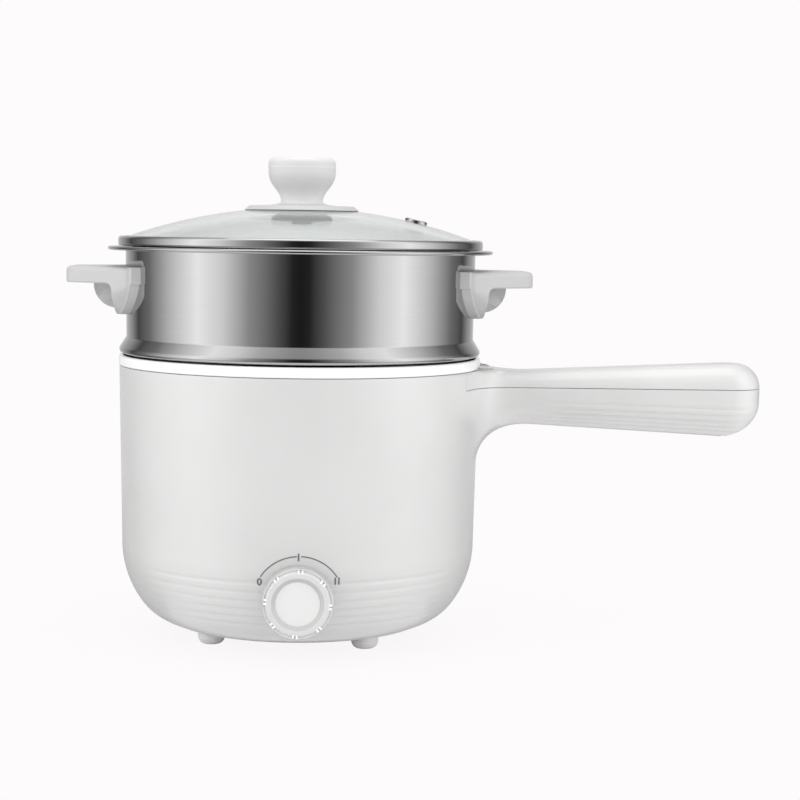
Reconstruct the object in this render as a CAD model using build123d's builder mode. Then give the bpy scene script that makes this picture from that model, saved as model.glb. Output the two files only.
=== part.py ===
from build123d import *

import os
from math import asin, cos, degrees, radians, sin, sqrt, tan

# Countertop multicooker: a heated pot in a moulded housing with a long handle, a steamer tier and a glass
# lid. The origin is on the pot's axis at table level, +Z is up, the long handle points along +X and the
# control knob faces -Y. All sizes are in millimetres and all angles in degrees.

os.makedirs("parts", exist_ok=True)

# Clearances
seat_gap = 0.2
part_gap = 0.3
running_gap = 0.05
thread_gap = 0.05

# Housing
foot_height = 7.0
body_top_z = 141.5
body_top_radius = 94.6
body_draft = 1.05
body_wall = 2.4
corner_low_radius = 27.0
corner_high_radius = 52.4
corner_split = 53.5

# Ripples that fade out round the front of the housing
ripple_count = 6
ripple_first = 8.3
ripple_pitch = 5.35
ripple_radius = 1.5
ripple_depth = 0.55
ripple_fade = 58.0

# Long handle, measured from the housing's wall and top
handle_reach = 150.9
handle_root_inset = 10.6
handle_neck_reach = 25.4
handle_root_radius = 19.5
handle_wall = 2.4
handle_end_round = 25.2
root_half_width = 31.0
root_top_drop = 0.6
root_low_round = 14.0
root_high_round = 8.0
neck_half_width = 15.5
neck_top_drop = 0.9
neck_bottom_drop = 29.6
neck_high_round = 11.0
grip_half_width = 18.3
grip_top_rise = 3.9
grip_bottom_drop = 35.4
grip_high_round = 13.0
handle_bottom_flat = 1.5
parting_drop = 9.5
cover_half_width = 41.5
cover_corner_round = 3.0
cover_pocket = 1.3

# Grooves along the lower half of the handle
handle_groove_count = 5
handle_groove_first = 4.0
handle_groove_pitch = 12.6
handle_groove_radius = 1.0
handle_groove_depth = 0.55
handle_groove_fade = 0.45

# Screws in the handle
handle_screw_spacing = 58.0
handle_screw_start = 52.0
handle_screw_seat_drop = 8.0
handle_boss_radius = 4.2

# Screws in common
screw_radius = 1.5
screw_head_radius = 3.0
screw_head_height = 1.9
screw_bite = 8.0

# Rim ring and pot
ring_height = 5.3
ring_overhang = 0.4
ring_spigot = 2.4
ring_spigot_depth = 7.5
ring_edge_round = 1.6
pot_sheet = 1.2
pot_side_gap = 2.5
pot_taper = 1.0
pot_flange_inset = 2.2
pot_floor_z = 57.7
pot_corner_radius = 16.0
pot_lip_radius = 2.0

# Heater under the pot
plate_thickness = 3.0
plate_inset = 24.0
element_inset = 18.0
element_tube_radius = 3.4
element_opening = 40.0
element_direction = 90.0
element_pin_radius = 2.0
element_pin_length = 15.0
shield_sheet = 0.8
shield_drop = 10.5
shield_inset = 16.0
shield_rim = 7.0
shield_bend = 4.0
shield_hole_radius = 3.2
stud_inset = 7.0
stud_direction = 90.0
stud_radius = 2.0
stud_count = 3
stud_tail = 3.0
nut_width = 7.0
nut_height = 3.2
thermostat_radius = 9.0
thermostat_cap_radius = 7.4
thermostat_cap_height = 2.0
bracket_sheet = 0.8
bracket_width = 14.0
bracket_span = 28.0
bracket_foot = 8.0
bracket_rise = 3.2
fuse_radius = 2.2
fuse_length = 16.0

# Underside
ledge_z = 10.7
ledge_thickness = 2.5
ledge_width = 9.7
base_overlap = 5.3
base_thickness = 2.0
base_rim = 2.5
base_screw_inset = 5.2
base_screw_angle = -7.0
base_post_radius = 3.9
base_boss_height = 9.0
foot_count = 4
foot_inset = 10.2
foot_angle = -52.0
foot_radius = 7.0
foot_tread_radius = 3.6
foot_stem_radius = 2.6
foot_stem_length = 3.4
vent_slot_count = 8
vent_slot_length = 16.0
vent_slot_width = 3.0
vent_slot_circle = 30.0

# Control knob and its switch
knob_axis_z = 33.4
boss_radius = 16.4
knob_radius = 17.6
knob_depth = 9.0
knob_lip = 0.4
knob_lip_drop = 2.0
knob_channel_radius = 16.0
knob_channel_drop = 3.4
knob_bevel = 0.6
knob_face_radius = 15.6
knob_dish_radius = 12.9
knob_dish_depth = 0.8
knob_cap_radius = 10.7
knob_cap_thickness = 1.2
knob_cap_round = 0.3
knob_wall = 1.8
knob_floor = 1.6
knob_hub_radius = 6.2
knob_hub_gap = 0.5
knob_rib_count = 8
knob_rib_pair = 1.8
knob_rib_width = 0.9
knob_rib_length = 1.8
knob_rib_drop = 0.4
knob_rib_angle = -4.5
shaft_radius = 3.0
shaft_flat = 0.8
shaft_depth = 12.0
switch_width = 25.0
switch_depth = 9.0
switch_neck_depth = 10.0
switch_neck_width = 16.0
switch_round = 2.0
switch_bush_radius = 4.8
switch_nut_width = 13.0
switch_nut_height = 2.0
tab_width = 6.3
tab_length = 8.0
tab_thickness = 0.8
tab_spacing = 8.0

# Rear cord gland and wiring
gland_z = 46.0
gland_bore_radius = 3.6
gland_wall = 2.2
gland_flange_radius = 8.5
gland_flange = 2.4
gland_tail = 4.0
block_length = 27.0
block_width = 13.0
block_height = 12.0
block_inset = 26.2
block_way_count = 3
block_way_radius = 2.0
block_way_pitch = 8.0
lead_radius = 1.2
lead_bend = 2.4
lead_drop = 9.0

# Steamer tier
steamer_sheet = 0.8
steamer_top_z = 203.2
steamer_taper = 0.6
steamer_flange_width = 9.7
steamer_roll_radius = 1.0
steamer_bead_height = 7.5
steamer_bead_overhang = 0.8
steamer_bead_swell = 4.2
steamer_hem = 2.4
steamer_skirt_gap = 1.0
steamer_skirt_depth = 12.0
steamer_bend = 1.6
steamer_bead_bend = 3.0
floor_sheet = 0.8
floor_hole_radius = 3.5
floor_ring_count = 3
floor_ring_pitch = 19.0
floor_ring_holes = 6

# Ears of the steamer
ear_tip = 30.2
ear_grip_drop = 10.5
ear_grip_thickness = 8.4
ear_half_width = 43.5
ear_flange_thickness = 5.0
ear_flange_step = 1.6
ear_flange_round = 0.6
ear_body_inset = 2.2
ear_body_reach = 5.6
ear_body_taper = 2.0
ear_body_fillet = 3.0
ear_body_round = 1.0
ear_belly_half_width = 36.4
ear_belly_drop = 9.0
ear_foot_half_width = 22.0
ear_foot_drop = 24.4
ear_shoulder = 6.5
ear_tip_half_width = 18.0
ear_tip_round = 10.0
ear_shoulder_round = 5.0
ear_edge_round = 2.4
ear_rib_half_width = 8.0
ear_rib_reach = 16.7
ear_rib_belly = 14.4
ear_rib_belly_drop = 8.2
ear_rib_drop = 13.3
ear_screw_angle = 11.0
ear_screw_bite = 6.0

# Lid
dome_radius = 262.0
glass_edge_rise = 3.36
glass_thickness = 3.6
glass_hole_radius = 4.2
rim_sheet = 0.6
rim_inset = 4.3
rim_height = 5.2
rim_lip = 4.0
rim_skirt_inset = 1.4
rim_skirt_depth = 3.0
rim_round = 1.2
lid_gap = 0.2
vent_reach = 60.0
vent_flange_radius = 6.0
vent_flange = 0.9
vent_tube_radius = 3.4
vent_bore_radius = 2.4

# Lid knob, measured up from the glass
lid_knob_flange_radius = 30.3
lid_knob_flange_height = 2.6
lid_knob_bevel = 2.8
lid_knob_flange_slope = 0.12
lid_knob_neck_radius = 11.0
lid_knob_neck_rise = 4.6
lid_knob_waist_radius = 15.4
lid_knob_waist_rise = 10.8
lid_knob_radius = 17.7
lid_knob_belly_rise = 19.0
lid_knob_seam_rise = 21.8
lid_knob_rise = 26.2
lid_knob_cap_round = 3.0
lid_knob_spigot_radius = 9.0
lid_knob_spigot = 3.0
washer_radius = 16.0
washer_thickness = 1.6
lid_screw_radius = 2.0
lid_screw_head_radius = 5.5
lid_screw_head_height = 2.2
lid_screw_length = 18.0

# Heights and places that follow from the sizes above
low_run = corner_low_radius * sin(radians(corner_split))
low_rise = corner_low_radius * (1 - cos(radians(corner_split)))
high_run = corner_high_radius * (cos(radians(body_draft)) - sin(radians(corner_split)))
high_rise = corner_high_radius * (cos(radians(corner_split)) - sin(radians(body_draft)))
corner_top_z = foot_height + low_rise + high_rise
corner_top_radius = body_top_radius - (body_top_z - corner_top_z) * tan(radians(body_draft))
corner_center_radius = corner_top_radius - corner_high_radius * cos(radians(body_draft))
corner_center_z = corner_top_z + corner_high_radius * sin(radians(body_draft))
flat_radius = corner_top_radius - high_run - low_run
ledge_top_z = ledge_z + ledge_thickness
base_radius = flat_radius + base_overlap
base_screw_circle = base_radius - base_screw_inset
ledge_inner_radius = base_radius - ledge_width
foot_circle = base_radius - foot_inset

handle_root_x = body_top_radius - handle_root_inset
handle_neck_x = body_top_radius + handle_neck_reach
handle_end_x = body_top_radius + handle_reach
handle_grip_x = handle_end_x - grip_half_width
root_top_z = body_top_z - root_top_drop
neck_top_z = body_top_z - neck_top_drop
neck_bottom_z = body_top_z - neck_bottom_drop
grip_top_z = body_top_z + grip_top_rise
grip_bottom_z = body_top_z - grip_bottom_drop
neck_low_round = neck_half_width - handle_bottom_flat
grip_low_round = grip_half_width - handle_bottom_flat
parting_z = body_top_z - parting_drop
handle_screw_seat_z = parting_z - handle_screw_seat_drop
handle_screw_xs = [
    body_top_radius + handle_screw_start,
    body_top_radius + handle_screw_start + handle_screw_spacing,
]
blend_room = 2 * handle_root_radius

ring_z = body_top_z + part_gap
ring_top_z = ring_z + ring_height
ring_radius = body_top_radius + ring_overhang
ring_bore_radius = body_top_radius - body_wall - part_gap - ring_spigot
pot_radius = ring_bore_radius - pot_side_gap
pot_floor_radius = pot_radius - pot_taper
pot_flange_radius = ring_radius - pot_flange_inset
pot_top_z = ring_top_z + pot_sheet
pot_under_z = pot_floor_z - pot_sheet
plate_heat_radius = pot_floor_radius - plate_inset
element_radius = plate_heat_radius - element_inset
stud_circle = plate_heat_radius - stud_inset
shield_radius = pot_floor_radius - shield_inset
fuse_offset = (thermostat_radius + element_radius - element_tube_radius) / 2
block_y = base_radius - block_inset
plate_under_z = pot_under_z - seat_gap - plate_thickness
shield_top_z = plate_under_z - shield_drop
element_z = plate_under_z - seat_gap - element_tube_radius

steamer_base_z = pot_top_z + part_gap
steamer_skirt_radius = pot_radius - steamer_skirt_gap
steamer_skirt_z = steamer_base_z + 2 * steamer_sheet + seat_gap
steamer_lip_z = steamer_base_z - steamer_skirt_depth
floor_radius = steamer_skirt_radius - steamer_sheet - seat_gap
steamer_bead_radius = pot_flange_radius + steamer_bead_overhang
steamer_low_radius = steamer_bead_radius - steamer_bead_swell
steamer_mouth_radius = steamer_low_radius + steamer_taper
steamer_flange_radius = steamer_mouth_radius + steamer_flange_width
steamer_wall_radius = steamer_mouth_radius + steamer_sheet
ear_seat_radius = steamer_wall_radius + seat_gap
ear_top_z = steamer_top_z - ear_grip_drop
ear_under_z = ear_top_z - ear_grip_thickness
ear_screw_z = ear_top_z - ear_grip_thickness / 2

rim_radius = steamer_flange_radius - rim_inset
rim_skirt_radius = steamer_mouth_radius - rim_skirt_inset
rim_z = steamer_top_z + lid_gap
rim_floor_z = rim_z + rim_sheet
glass_radius = rim_radius - rim_sheet - part_gap
dome_center_z = rim_z + glass_edge_rise - sqrt(dome_radius**2 - glass_radius**2)
dome_top_z = dome_center_z + dome_radius
glass_under_z = dome_top_z - glass_thickness

# The housing's seam line lies at the side away from the handle
seam_plane = Plane(origin=(0, 0, 0), x_dir=(-1, 0, 0), z_dir=(0, 1, 0))


def save(builder, label):
    """Label a finished piece and write it."""
    builder.part.label = label
    export_step(builder.part, f"parts/{label}.step")


def body_outline(inset, top):
    """Half section of the housing, drawn inset from its skin and level at the given height."""
    floor = Line((0, foot_height + inset), (flat_radius, foot_height + inset))
    low = JernArc(floor @ 1, (1, 0), corner_low_radius - inset, corner_split)
    high = JernArc(low @ 1, low % 1, corner_high_radius - inset, 90 - corner_split - body_draft)
    reach = (top - (high @ 1).Y) / cos(radians(body_draft))
    side = Line(high @ 1, high @ 1 + (high % 1) * reach)
    Polyline(side @ 1, (0, top), floor @ 0)


def skin_radius(z):
    """Radius of the housing's skin at a height on its upper corner arc or above."""
    if z > corner_top_z:
        return corner_top_radius + (z - corner_top_z) * tan(radians(body_draft))
    return corner_center_radius + sqrt(corner_high_radius**2 - (corner_center_z - z) ** 2)


# The control knob turns on a level boss just clear of the skin
boss_front = skin_radius(knob_axis_z + knob_radius) + seat_gap
knob_plane = Plane(origin=(0, -boss_front, knob_axis_z), x_dir=(1, 0, 0), z_dir=(0, -1, 0))
knob_section = Plane(origin=(0, -boss_front, knob_axis_z), x_dir=(1, 0, 0), z_dir=(0, 0, -1))
knob_axis = Axis((0, -boss_front, knob_axis_z), (0, -1, 0))


def sheet_outline(points, bends, thickness):
    """Closed outline of a bent sheet whose thickness lies to the left of the path."""
    FilletPolyline(*points, radius=bends)
    offset(amount=thickness, side=Side.LEFT)


def handle_section(plane, half_width, bottom, top, low_round, high_round):
    """Rounded cross-section of the handle on a plane whose second direction is up."""
    with BuildSketch(plane) as section:
        with Locations((0, (bottom + top) / 2)):
            Rectangle(2 * half_width, top - bottom)
        fillet(section.vertices().group_by(Axis.Y)[0], low_round)
        fillet(section.vertices().group_by(Axis.Y)[-1], high_round)
    return section.sketch


def handle_form(inset):
    """The whole handle as a solid bar with a rounded end, drawn inset from its skin."""
    root = handle_section(
        Plane.YZ.offset(handle_root_x),
        root_half_width - inset,
        neck_bottom_z + inset,
        root_top_z - inset,
        root_low_round - inset,
        root_high_round - inset,
    )
    neck = handle_section(
        Plane.YZ.offset(handle_neck_x),
        neck_half_width - inset,
        neck_bottom_z + inset,
        neck_top_z - inset,
        neck_low_round - inset,
        neck_high_round - inset,
    )
    grip_sizes = (
        grip_half_width - inset,
        grip_bottom_z + inset,
        grip_top_z - inset,
        grip_low_round - inset,
        grip_high_round - inset,
    )
    grip = handle_section(Plane.YZ.offset(handle_grip_x), *grip_sizes)
    end_plane = Plane(origin=(handle_grip_x, 0, 0), x_dir=(1, 0, 0), z_dir=(0, -1, 0))
    end = handle_section(end_plane, *grip_sizes)
    with BuildPart() as form:
        loft([root, neck], ruled=True)
        loft([neck, grip], ruled=True)
        extrude(root, amount=-handle_root_inset)
        add(split(end, bisect_by=Plane.YZ.offset(handle_grip_x), keep=Keep.TOP, mode=Mode.PRIVATE))
        revolve(axis=Axis((handle_grip_x, 0, 0), (0, 0, 1)))
        with BuildSketch(Plane.XZ):
            with BuildLine():
                centre_x = handle_end_x - handle_end_round + part_gap
                centre_z = grip_bottom_z + handle_end_round
                round_end = CenterArc((centre_x, centre_z), handle_end_round - inset, -90, 90)
                Polyline(
                    round_end @ 1,
                    (handle_end_x + handle_end_round, centre_z),
                    (handle_end_x + handle_end_round, grip_bottom_z - handle_end_round),
                    (centre_x, grip_bottom_z - handle_end_round),
                    round_end @ 0,
                )
            make_face()
        extrude(amount=grip_half_width, both=True, mode=Mode.SUBTRACT)
    return form.part


def handle_line(x, at_neck, at_grip):
    """Height of a straight line of the handle between its neck and its grip."""
    share = (x - handle_neck_x) / (handle_grip_x - handle_neck_x)
    return at_neck + share * (at_grip - at_neck)


def dome_z(radius, lift):
    """Height of a surface that lies the given lift above the glass, at a radius from the axis."""
    return dome_center_z + sqrt((dome_radius + lift) ** 2 - radius**2)


def pan_screw(plane, shank_radius, head_radius, head_height, length):
    """One pan-head screw whose head sits below the plane and whose shank runs along its normal."""
    with BuildPart() as screw:
        with BuildSketch(plane):
            Circle(head_radius)
        extrude(amount=-head_height)
        fillet(screw.edges().sort_by(Axis(plane.origin, plane.z_dir))[0], head_height / 2)
        with BuildSketch(plane):
            Circle(shank_radius)
        extrude(amount=length)
    return screw.part


# Housing and handle as one solid form with a blended root
handle_skin = handle_form(0)
with BuildPart() as body_form:
    with BuildSketch(seam_plane):
        with BuildLine():
            body_outline(0, body_top_z + blend_room)
        make_face()
    revolve(axis=Axis.Z)

with BuildPart() as housing_form:
    add(body_form.part)
    add(handle_skin)
    fillet(new_edges(body_form.part, handle_skin, combined=housing_form.part), handle_root_radius)
    with BuildSketch(Plane.XY.offset(body_top_z)):
        Circle(handle_neck_x)
    extrude(amount=blend_room, mode=Mode.SUBTRACT)

# Hollow inside the handle, which ends short of the housing's wall
with BuildPart() as handle_hollow:
    add(handle_form(handle_wall))
    Cylinder(body_top_radius + handle_wall, 2 * grip_top_z, mode=Mode.SUBTRACT)


def cover_zone(gap):
    """Space that belongs to the handle cover, less a gap along its joint with the housing."""
    with BuildPart() as zone:
        with BuildSketch(Plane.YZ) as front:
            with Locations((0, parting_z + gap)):
                Rectangle(2 * (cover_half_width - gap), blend_room, align=(Align.CENTER, Align.MIN))
            fillet(front.vertices().group_by(Axis.Y)[0], cover_corner_round)
        extrude(amount=handle_end_x + handle_wall)
        Cylinder(body_top_radius - cover_pocket + gap, 4 * body_top_z, mode=Mode.SUBTRACT)
    return zone.part


def groove_cutter(index):
    """Round bar along one groove of the handle: both sides and round the end."""
    angle = radians(handle_groove_first + index * handle_groove_pitch)
    stand_off = handle_groove_radius - handle_groove_depth
    neck_reach = neck_low_round + stand_off + handle_groove_fade
    grip_reach = grip_low_round + stand_off
    neck_y = handle_bottom_flat + neck_reach * cos(angle)
    neck_z = neck_bottom_z + neck_low_round - neck_reach * sin(angle)
    grip_y = handle_bottom_flat + grip_reach * cos(angle)
    grip_z = grip_bottom_z + grip_low_round - grip_reach * sin(angle)
    with BuildPart() as cutter:
        for side in (-1, 1):
            with BuildLine() as run:
                Line((handle_neck_x, side * neck_y, neck_z), (handle_grip_x, side * grip_y, grip_z))
            with BuildSketch(Plane(origin=run.line @ 0, z_dir=run.line % 0)):
                Circle(handle_groove_radius)
            sweep(path=run.line)
        with BuildSketch(Plane.YZ.offset(handle_grip_x)):
            with Locations((-grip_y, grip_z)):
                Circle(handle_groove_radius)
        revolve(axis=Axis((handle_grip_x, 0, 0), (0, 0, 1)), revolution_arc=180)
    return cutter.part


# Housing shell with the lower half of the handle and the boss behind the control knob
groove_cutters = [groove_cutter(index) for index in range(handle_groove_count)]
with BuildPart() as outer_shell:
    add(housing_form.part)
    add(cover_zone(0), mode=Mode.SUBTRACT)
    for cutter in groove_cutters:
        add(cutter, mode=Mode.SUBTRACT)
    ripple_shift = ripple_depth / (1 - cos(radians(ripple_fade)))
    ripple_reach = corner_high_radius + ripple_radius - ripple_depth
    for index in range(ripple_count):
        angle = radians(ripple_first + index * ripple_pitch)
        ring_reach = corner_center_radius + ripple_reach * cos(angle) + ripple_shift
        with Locations((0, ripple_shift, corner_center_z - ripple_reach * sin(angle))):
            Torus(ring_reach, ripple_radius, mode=Mode.SUBTRACT)
    with BuildSketch(knob_plane):
        Circle(boss_radius)
    extrude(amount=-boss_radius)
    with BuildSketch(seam_plane):
        with BuildLine():
            body_outline(body_wall, body_top_z)
        make_face()
        with Locations((0, ledge_top_z)):
            Rectangle(2 * body_top_radius, ledge_top_z, align=(Align.CENTER, Align.MAX), mode=Mode.SUBTRACT)
    revolve(axis=Axis.Z, mode=Mode.SUBTRACT)
    with BuildSketch(knob_plane.offset(-body_wall)):
        Circle(boss_radius - body_wall)
    extrude(amount=-boss_radius, mode=Mode.SUBTRACT)
    with BuildSketch(knob_plane):
        Circle(switch_bush_radius + seat_gap)
    extrude(amount=-boss_radius, mode=Mode.SUBTRACT)
    with BuildSketch():
        Circle(ledge_inner_radius)
    extrude(amount=ledge_top_z, mode=Mode.SUBTRACT)
    with BuildSketch():
        Circle(base_radius + part_gap)
    extrude(amount=ledge_z, mode=Mode.SUBTRACT)
    with BuildSketch(Plane.XY.offset(ledge_top_z)):
        with PolarLocations(base_screw_circle, foot_count, base_screw_angle):
            Circle(base_post_radius)
    extrude(amount=base_boss_height)
    with BuildSketch(Plane.XY.offset(ledge_z)):
        with PolarLocations(base_screw_circle, foot_count, base_screw_angle):
            Circle(screw_radius + thread_gap)
    extrude(amount=ledge_thickness + base_boss_height, mode=Mode.SUBTRACT)
    with BuildSketch(Plane.XZ.offset(-body_top_radius)):
        with Locations((0, gland_z)):
            Circle(gland_bore_radius + gland_wall + seat_gap)
    extrude(amount=body_top_radius / 2, mode=Mode.SUBTRACT)
    add(handle_hollow.part, mode=Mode.SUBTRACT)
    for x in handle_screw_xs:
        boss_foot_z = handle_line(x, neck_bottom_z, grip_bottom_z) + handle_wall / 2
        with BuildSketch(Plane.XY.offset(boss_foot_z)):
            with Locations((x, 0)):
                Circle(handle_boss_radius)
        extrude(amount=parting_z - boss_foot_z)
        with BuildSketch(Plane.XY.offset(handle_screw_seat_z)):
            with Locations((x, 0)):
                Circle(screw_head_radius + part_gap)
        extrude(amount=-grip_bottom_drop, mode=Mode.SUBTRACT)
        with BuildSketch(Plane.XY.offset(handle_screw_seat_z)):
            with Locations((x, 0)):
                Circle(screw_radius + part_gap)
        extrude(amount=handle_screw_seat_drop, mode=Mode.SUBTRACT)
save(outer_shell, "outer_shell")

# Upper half of the handle
with BuildPart() as handle_cover:
    add(housing_form.part)
    add(cover_zone(part_gap), mode=Mode.INTERSECT)
    add(handle_hollow.part, mode=Mode.SUBTRACT)
    for x in handle_screw_xs:
        boss_top_z = handle_line(x, neck_top_z, grip_top_z) - handle_wall / 2
        with BuildSketch(Plane.XY.offset(parting_z + part_gap)):
            with Locations((x, 0)):
                Circle(handle_boss_radius)
        extrude(amount=boss_top_z - parting_z - part_gap)
        with BuildSketch(Plane.XY.offset(parting_z)):
            with Locations((x, 0)):
                Circle(screw_radius + thread_gap)
        extrude(amount=screw_bite, mode=Mode.SUBTRACT)
save(handle_cover, "handle_cover")

with BuildPart() as handle_screws:
    for x in handle_screw_xs:
        seat = Plane.XY.offset(handle_screw_seat_z - seat_gap).shift_origin(
            (x, 0, handle_screw_seat_z - seat_gap)
        )
        length = handle_screw_seat_drop + screw_bite - seat_gap
        add(pan_screw(seat, screw_radius, screw_head_radius, screw_head_height, length))
save(handle_screws, "handle_screws")

# Glossy ring between the housing and the pot's flange
with BuildPart() as rim_ring:
    with BuildSketch(Plane.XZ) as profile:
        with BuildLine():
            Polyline(
                (ring_bore_radius, ring_z - ring_spigot_depth),
                (ring_bore_radius + ring_spigot, ring_z - ring_spigot_depth),
                (ring_bore_radius + ring_spigot, ring_z),
                (ring_radius, ring_z),
                (ring_radius, ring_top_z),
                (ring_bore_radius, ring_top_z),
                close=True,
            )
        make_face()
        fillet(profile.vertices().group_by(Axis.X)[-1].sort_by(Axis.Y)[-1], ring_edge_round)
        fillet(profile.vertices().group_by(Axis.X)[-1].sort_by(Axis.Y)[0], ring_edge_round / 2)
    revolve(axis=Axis.Z)
save(rim_ring, "rim_ring")

# Drawn cooking pot whose flange lies on the ring
with BuildPart() as inner_pot:
    with BuildSketch(Plane.XZ):
        with BuildLine():
            sheet_outline(
                [
                    (pot_flange_radius, pot_top_z),
                    (pot_radius, pot_top_z),
                    (pot_floor_radius, pot_floor_z),
                    (0, pot_floor_z),
                ],
                [pot_lip_radius, pot_corner_radius],
                pot_sheet,
            )
        make_face()
    revolve(axis=Axis.Z)
save(inner_pot, "inner_pot")

# Heat spreader
with BuildPart() as heating_plate:
    with BuildSketch(Plane.XY.offset(plate_under_z)):
        Circle(plate_heat_radius)
    extrude(amount=plate_thickness)
    chamfer(heating_plate.edges().filter_by(GeomType.CIRCLE), plate_thickness / 6)
save(heating_plate, "heating_plate")

# Tubular heater: an open loop with a pin turned down at each end
with BuildPart() as heating_element:
    loop_start = element_direction + element_opening / 2
    loop_plane = Plane.XZ.rotated((0, 0, loop_start))
    with BuildSketch(loop_plane):
        with Locations((element_radius, element_z)):
            Circle(element_tube_radius)
    revolve(axis=Axis.Z, revolution_arc=360 - element_opening)
    with BuildSketch(Plane.XY.offset(element_z)):
        for angle in (loop_start, loop_start - element_opening):
            with PolarLocations(element_radius, 1, angle):
                Circle(element_pin_radius)
    extrude(amount=-element_pin_length)
save(heating_element, "heating_element")

# Steel dish under the heater
with BuildPart() as heat_shield:
    with BuildSketch(Plane.XZ):
        with BuildLine():
            sheet_outline(
                [
                    (shield_radius, shield_top_z + shield_rim),
                    (shield_radius, shield_top_z),
                    (0, shield_top_z),
                ],
                [shield_bend],
                shield_sheet,
            )
        make_face()
    revolve(axis=Axis.Z)
    with BuildSketch(Plane.XY.offset(shield_top_z)):
        with PolarLocations(stud_circle, stud_count, stud_direction):
            Circle(stud_radius + part_gap)
        for angle in (loop_start, loop_start - element_opening):
            with PolarLocations(element_radius, 1, angle):
                Circle(shield_hole_radius)
    extrude(amount=-shield_sheet, mode=Mode.SUBTRACT)
save(heat_shield, "heat_shield")

# Studs under the heat spreader and the nuts that hold the shield on them
stud_foot_z = shield_top_z - shield_sheet - seat_gap - nut_height - stud_tail
with BuildPart() as shield_studs:
    with BuildSketch(Plane.XY.offset(stud_foot_z)):
        with PolarLocations(stud_circle, stud_count, stud_direction):
            Circle(stud_radius)
    extrude(amount=plate_under_z - stud_foot_z)
save(shield_studs, "shield_studs")

with BuildPart() as shield_nuts:
    with BuildSketch(Plane.XY.offset(stud_foot_z + stud_tail)):
        with PolarLocations(stud_circle, stud_count, stud_direction):
            RegularPolygon(nut_width / 2, 6, major_radius=False)
            Circle(stud_radius + thread_gap, mode=Mode.SUBTRACT)
    extrude(amount=nut_height)
save(shield_nuts, "shield_nuts")

# Sprung bracket that holds the thermostat against the heat spreader
bracket_top_z = shield_top_z + bracket_rise
with BuildPart() as thermostat_bracket:
    with BuildSketch(Plane.XZ):
        with BuildLine():
            sheet_outline(
                [
                    (-bracket_span / 2 - bracket_foot, shield_top_z),
                    (-bracket_span / 2, shield_top_z),
                    (-bracket_span / 2, bracket_top_z - bracket_sheet),
                    (bracket_span / 2, bracket_top_z - bracket_sheet),
                    (bracket_span / 2, shield_top_z),
                    (bracket_span / 2 + bracket_foot, shield_top_z),
                ],
                [bracket_sheet / 2] * 4,
                bracket_sheet,
            )
        make_face()
    extrude(amount=bracket_width / 2, both=True)
save(thermostat_bracket, "thermostat_bracket")

with BuildPart() as thermostat:
    with BuildSketch(Plane.XY.offset(bracket_top_z + seat_gap)):
        Circle(thermostat_radius)
    extrude(amount=plate_under_z - bracket_top_z - 2 * seat_gap - thermostat_cap_height)
    with BuildSketch(Plane.XY.offset(plate_under_z - seat_gap - thermostat_cap_height)):
        Circle(thermostat_cap_radius)
    extrude(amount=thermostat_cap_height)
save(thermostat, "thermostat")

# Thermal cut-out lying on the shield
with BuildPart() as thermal_fuse:
    fuse_plane = Plane.YZ.offset(-fuse_length / 2)
    with BuildSketch(fuse_plane):
        with Locations((-fuse_offset, shield_top_z + seat_gap + fuse_radius)):
            Circle(fuse_radius)
    extrude(amount=fuse_length)
    fillet(thermal_fuse.edges().filter_by(GeomType.CIRCLE), fuse_radius / 3)
save(thermal_fuse, "thermal_fuse")

# Bottom cover with its rim, screw posts, foot sockets and air slots
with BuildPart() as base_plate:
    with BuildSketch(Plane.XY.offset(foot_height)):
        Circle(base_radius)
    extrude(amount=ledge_z - seat_gap - foot_height)
    with BuildSketch(Plane.XY.offset(foot_height + base_thickness)):
        Circle(base_radius - base_rim)
        with PolarLocations(base_screw_circle, foot_count, base_screw_angle):
            Circle(base_post_radius, mode=Mode.SUBTRACT)
    extrude(amount=ledge_z, mode=Mode.SUBTRACT)
    with BuildSketch(Plane.XY.offset(foot_height)):
        with PolarLocations(base_screw_circle, foot_count, base_screw_angle):
            Circle(screw_head_radius + part_gap)
    extrude(amount=screw_head_height + part_gap, mode=Mode.SUBTRACT)
    with BuildSketch(Plane.XY.offset(foot_height)):
        with PolarLocations(base_screw_circle, foot_count, base_screw_angle):
            Circle(screw_radius + part_gap)
        with PolarLocations(foot_circle, foot_count, foot_angle):
            Circle(foot_stem_radius + thread_gap)
        with PolarLocations(vent_slot_circle, vent_slot_count):
            SlotOverall(vent_slot_length, vent_slot_width)
    extrude(amount=ledge_z, mode=Mode.SUBTRACT)
save(base_plate, "base_plate")

base_screw_seat_z = foot_height + screw_head_height + part_gap - seat_gap
with BuildPart() as base_screws:
    with PolarLocations(base_screw_circle, foot_count, base_screw_angle) as places:
        spots = [place.position for place in places.locations]
    for spot in spots:
        seat = Plane(origin=(spot.X, spot.Y, base_screw_seat_z), z_dir=(0, 0, 1))
        length = ledge_top_z + screw_bite - base_screw_seat_z
        add(pan_screw(seat, screw_radius, screw_head_radius, screw_head_height, length))
save(base_screws, "base_screws")

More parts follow.
